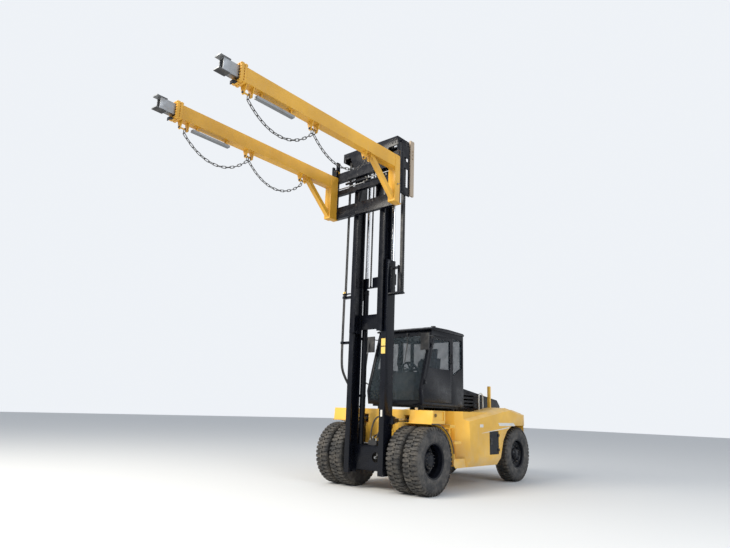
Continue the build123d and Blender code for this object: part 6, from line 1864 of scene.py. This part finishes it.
@dataclass
class Flanks:
    """What dresses the chassis outside: lips, rings, step studs, blank plates, a latch and a grab pipe."""

    finishes: Finishes
    rows: Rows
    skin: float = 1.250
    inlay: float = 0.002
    proud: float = 0.0003
    blanks: tuple[tuple[str, tuple[tuple[float, float], ...]], ...] = (
        ("stripe", ((-1.70, 1.085), (-1.70, 1.092), (-2.90, 1.215), (-2.90, 1.190))),
        ("plate", ((-2.46, 1.235), (-2.40, 1.300), (-3.12, 1.300), (-3.20, 1.235))),
        ("label", ((-1.62, 1.205), (-1.62, 1.265), (-1.76, 1.265), (-1.76, 1.205))),
    )
    treads: tuple[tuple[float, float, float], ...] = ((-0.735, -0.560, 1.245), (-0.962, -0.715, 0.940))
    arch: tuple[float, float] = (0.606, 0.654)
    lip_y: float = 1.238
    pipe_y: float = 0.66
    pipe_foot: float = 1.506
    margin: float = 0.02

    def fenders(self) -> None:
        """Rubber lips round the arches, and a ring round each box's hole."""
        for hand, side in HANDS:
            lip = Stock(hand)
            axle, radius = self.arch
            line = [(0.124, self.lip_y, 1.260), (0.05, self.lip_y, 1.260)]
            line += [(radius * cos(radians(t)), self.lip_y, axle + radius * sin(radians(t)))
                     for t in range(92, 174, 6)]
            lip.pipe(line, 0.011, order=3, along=3)
            lip.piece(f"fender_lip_{side}", self.finishes["rubber"], "chassis")
            ring = Stock(hand)
            section = [(0, 0.0195), (0, 0.030), (0.008, 0.030), (0.010, 0.026), (0.010, 0.0195)]
            ring.turned((-0.017, self.lip_y, 1.415), (0, 1, 0), section, 28, closed=True)
            ring.piece(f"fender_ring_{side}", self.finishes["rubber"], "chassis")

    def steps(self) -> None:
        """Raised studs on the treads."""
        for hand, side in HANDS:
            stud = Stock()
            stud.turned((0, 0, -0.001), (0, 0, 1), [(0, 0.0085), (0.003, 0.007), (0.0035, 0.0)], 8)
            row = []
            for x0, x1, top in self.treads:
                count = round((x1 - x0 - 2 * self.margin) / 0.033)
                for number in range(count + 1):
                    x = x0 + self.margin + number * (x1 - x0 - 2 * self.margin) / count
                    for place in range(7):
                        y = 0.955 + 0.035 * place + (0.0175 if number % 2 else 0.0)
                        row.append(((x, hand * y, top), UP))
            self.rows.piece(f"step_studs_{side}", shape_of(stud), row, self.finishes["bolt"], "chassis")

    def plates(self) -> None:
        """The pale tapered stripe, the blank plate and a small blank label on both flanks."""
        depth = (self.skin - self.inlay, self.skin + self.proud)
        for hand, side in HANDS:
            for name, outline in self.blanks:
                blank = Stock(hand).plate("y", list(outline), depth)
                blank.piece(f"flank_{name}_{side}", self.finishes["label"], "chassis")

    def box_door(self) -> None:
        """The compartment door's latch and hinge leaves."""
        latch = Stock()
        latch.block((-2.115, -2.035), (1.2520, 1.2600), (0.86, 0.98))
        latch.block((-2.100, -2.050), (1.2600, 1.2660), (0.885, 0.955))
        latch.piece("box_door_latch", self.finishes["plastic"], "box_door", ease=0.002)
        hinges = Stock()
        for z in (0.745, 1.030):
            hinges.block((-2.415, -2.370), (1.2585, 1.2630), (z - 0.025, z + 0.025))
        hinges.piece("box_door_hinge_leaves", self.finishes["cast"], "box_door", ease=0.001)

    def rails(self) -> None:
        """The bent grab pipe beside the hood."""
        pipe = Stock()
        line = [(-2.62, self.pipe_foot), (-2.62, 1.72), (-2.62, 1.86), (-2.66, 1.93), (-2.76, 1.93),
                (-2.80, 1.86), (-2.80, 1.70), (-2.80, self.pipe_foot)]
        pipe.pipe([(x, self.pipe_y, z) for x, z in line], 0.014)
        pipe.piece("grab_pipe_left", self.finishes["label"], "chassis")

    def build(self) -> None:
        """Builds the outside trim."""
        self.fenders()
        self.steps()
        self.plates()
        self.box_door()
        self.rails()


@dataclass
class Cab:
    """The cab's trim: wiper, beacon lens, steering wheel, padded seat and grab rail."""

    finishes: Finishes
    nose: tuple[float, float] = (-0.300, 1.870)
    brow: tuple[float, float] = (-0.665, 3.130)
    wheel_at: Point = (-0.890, 0.0, 2.338)
    wheel_r: float = 0.200
    tilt: float = radians(-53)

    def screen(self, share: float, out: float = 0.0) -> tuple[float, float]:
        """A place on the slanted windscreen.

        Args:
            share: How far up it, from 0 to 1.
            out: Distance in front of it.

        Returns:
            x and z.
        """
        dx, dz = self.brow[0] - self.nose[0], self.brow[1] - self.nose[1]
        length = (dx * dx + dz * dz) ** 0.5
        return (self.nose[0] + dx * share + out * dz / length, self.nose[1] + dz * share - out * dx / length)

    def wiper(self) -> None:
        """The wiper's arm and blade, parked on the screen."""
        stock = Stock()
        line = []
        for share, y in ((0.95, 0.10), (0.80, 0.14), (0.62, 0.16)):
            x, z = self.screen(share, 0.020)
            line.append((x, y, z))
        stock.pipe(line, 0.006, order=2)
        x0, z0 = self.screen(0.44, 0.014)
        x1, z1 = self.screen(0.80, 0.014)
        stock.rod((x0, 0.17, z0), (x1, 0.15, z1), 0.008, 8)
        x, z = self.screen(0.95, 0.004)
        stock.rod((x, 0.10, z), (x + 0.022, 0.10, z + 0.006), 0.020, 16)
        stock.piece("screen_wiper", self.finishes["plastic"], "chassis")

    def beacon(self) -> None:
        """The amber beacon's turned lens."""
        stock = Stock()
        profile = [(0.045, 0.0), (0.045, 0.0535), (0.13, 0.0515), (0.165, 0.042), (0.183, 0.022),
                   (0.1890, 0.0)]
        stock.turned((-1.75, 0.0, 3.205), (0, 0, 1), profile, 32)
        stock.piece("beacon_lens", self.finishes["amber"], "chassis")

    def steering_wheel(self) -> None:
        """A padded rim on three spokes."""
        up = Vector((sin(self.tilt), 0.0, cos(self.tilt)))
        side = Vector((0.0, 1.0, 0.0))
        other = up.cross(side)
        middle = Vector(self.wheel_at)
        ring = [tuple(middle + side * (cos(t) * self.wheel_r * 0.93) + other * (sin(t) * self.wheel_r * 0.93))
                for t in (2 * pi * number / 16 for number in range(16))]
        stock = Stock()
        stock.pipe(ring, 0.0135, order=3, closed=True)
        for turn in (90, 210, 330):
            end = middle + side * (cos(radians(turn)) * 0.18) + other * (sin(radians(turn)) * 0.18)
            stock.rod(tuple(middle - up * 0.012), tuple(end), 0.009, 10)
        hub = [(0, 0.0), (0, 0.040), (0.03, 0.045), (0.036, 0.0)]
        stock.turned(tuple(middle - up * 0.03), tuple(up), hub, 24)
        stock.piece("steering_wheel_padded", self.finishes["plastic"], "chassis")

    def cushion(self, name: str, x: Span, y: Span, z: Span, crown: float) -> bpy.types.Object:
        """A crowned cushion with a seam round it.

        Args:
            name: The piece's name.
            x: Its reach along the cab.
            y: Its reach across.
            z: Its reach in height.
            crown: How far its faces swell.

        Returns:
            The finished cushion.
        """
        bm = bmesh.new()
        bmesh.ops.create_cube(bm, size=2.0)
        bmesh.ops.subdivide_edges(bm, edges=bm.edges, cuts=9, use_grid_fill=True)
        half = Vector(((x[1] - x[0]) / 2, (y[1] - y[0]) / 2, (z[1] - z[0]) / 2))
        middle = at((x[0] + x[1]) / 2, (y[0] + y[1]) / 2, (z[0] + z[1]) / 2)
        for vert in bm.verts:
            u, v, w = vert.co
            swell = 1.0 - crown * (u * u * 0.5 + v * v * 0.5) * abs(w)
            pinch = 1.0 - 0.10 * (abs(u) ** 6 * abs(v) ** 6) - 0.05 * abs(w) ** 4
            channel = 0.04 * max(0.0, 1.0 - abs(abs(v) - 0.62) / 0.09) * abs(w)
            vert.co = middle + Vector((u * pinch * half.x, v * pinch * half.y,
                                       w * (swell - channel) * half.z))
        piece = from_bmesh(name, bm)
        smooth = piece.modifiers.new("smooth", "SUBSURF")
        smooth.levels = smooth.render_levels = 1
        baked(piece)
        piece.data.polygons.foreach_set("use_smooth", [True] * len(piece.data.polygons))
        return piece

    def seat(self) -> None:
        """The padded cushion, back and head rest."""
        pads = [
            ("seat_cushion", (-1.565, -1.052), (-0.258, 0.258), (1.868, 2.000), 0.34),
            ("seat_back", (-1.605, -1.475), (-0.250, 0.250), (2.000, 2.640), 0.30),
            ("seat_headrest", (-1.700, -1.620), (-0.130, 0.130), (2.690, 2.858), 0.25),
        ]
        for name, x, y, z, crown in pads:
            piece = seated(self.cushion(name, x, y, z, crown), self.finishes["cloth"], "chassis")

    def rails(self) -> None:
        """The dark grab rail beside the right front post."""
        rail = Stock()
        rail.pipe([(-0.44, -0.712, 2.95), (-0.40, -0.745, 2.95), (-0.37, -0.750, 2.85), (-0.30, -0.750, 2.40),
                   (-0.27, -0.750, 2.10), (-0.30, -0.745, 2.02), (-0.38, -0.712, 2.00)], 0.012)
        rail.piece("front_grab_rail", self.finishes["plastic"], "chassis")

    def build(self) -> None:
        """Builds the cab's trim."""
        self.wiper()
        self.beacon()
        self.steering_wheel()
        self.seat()
        self.rails()


def main() -> None:
    """Builds the scene in order."""
    logging.basicConfig(level=logging.INFO, format="%(name)s %(message)s")
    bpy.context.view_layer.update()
    Studio().build()
    finishes = Finishes()
    rows = Rows()
    Wheels(finishes, rows).build()
    Mast(finishes, rows).build()
    for hand, side in HANDS:
        Arm(finishes, rows, hand, side).build()
    Carriage(finishes, rows).build()
    Flanks(finishes, rows).build()
    Cab(finishes).build()
    widths = {name: 0.004 for name in (
        "frame", "counterweight", "side_body_left", "side_body_right", "front_fenders", "steps", "hood",
        "cab_frame", "cab_roof", "cab_door_left", "cab_door_right", "outer_mast", "inner_mast", "carriage",
        "arm_left", "arm_right", "tube_left", "tube_right")}
    Plating(finishes, widths).build()


if __name__ == "__main__":
    main()
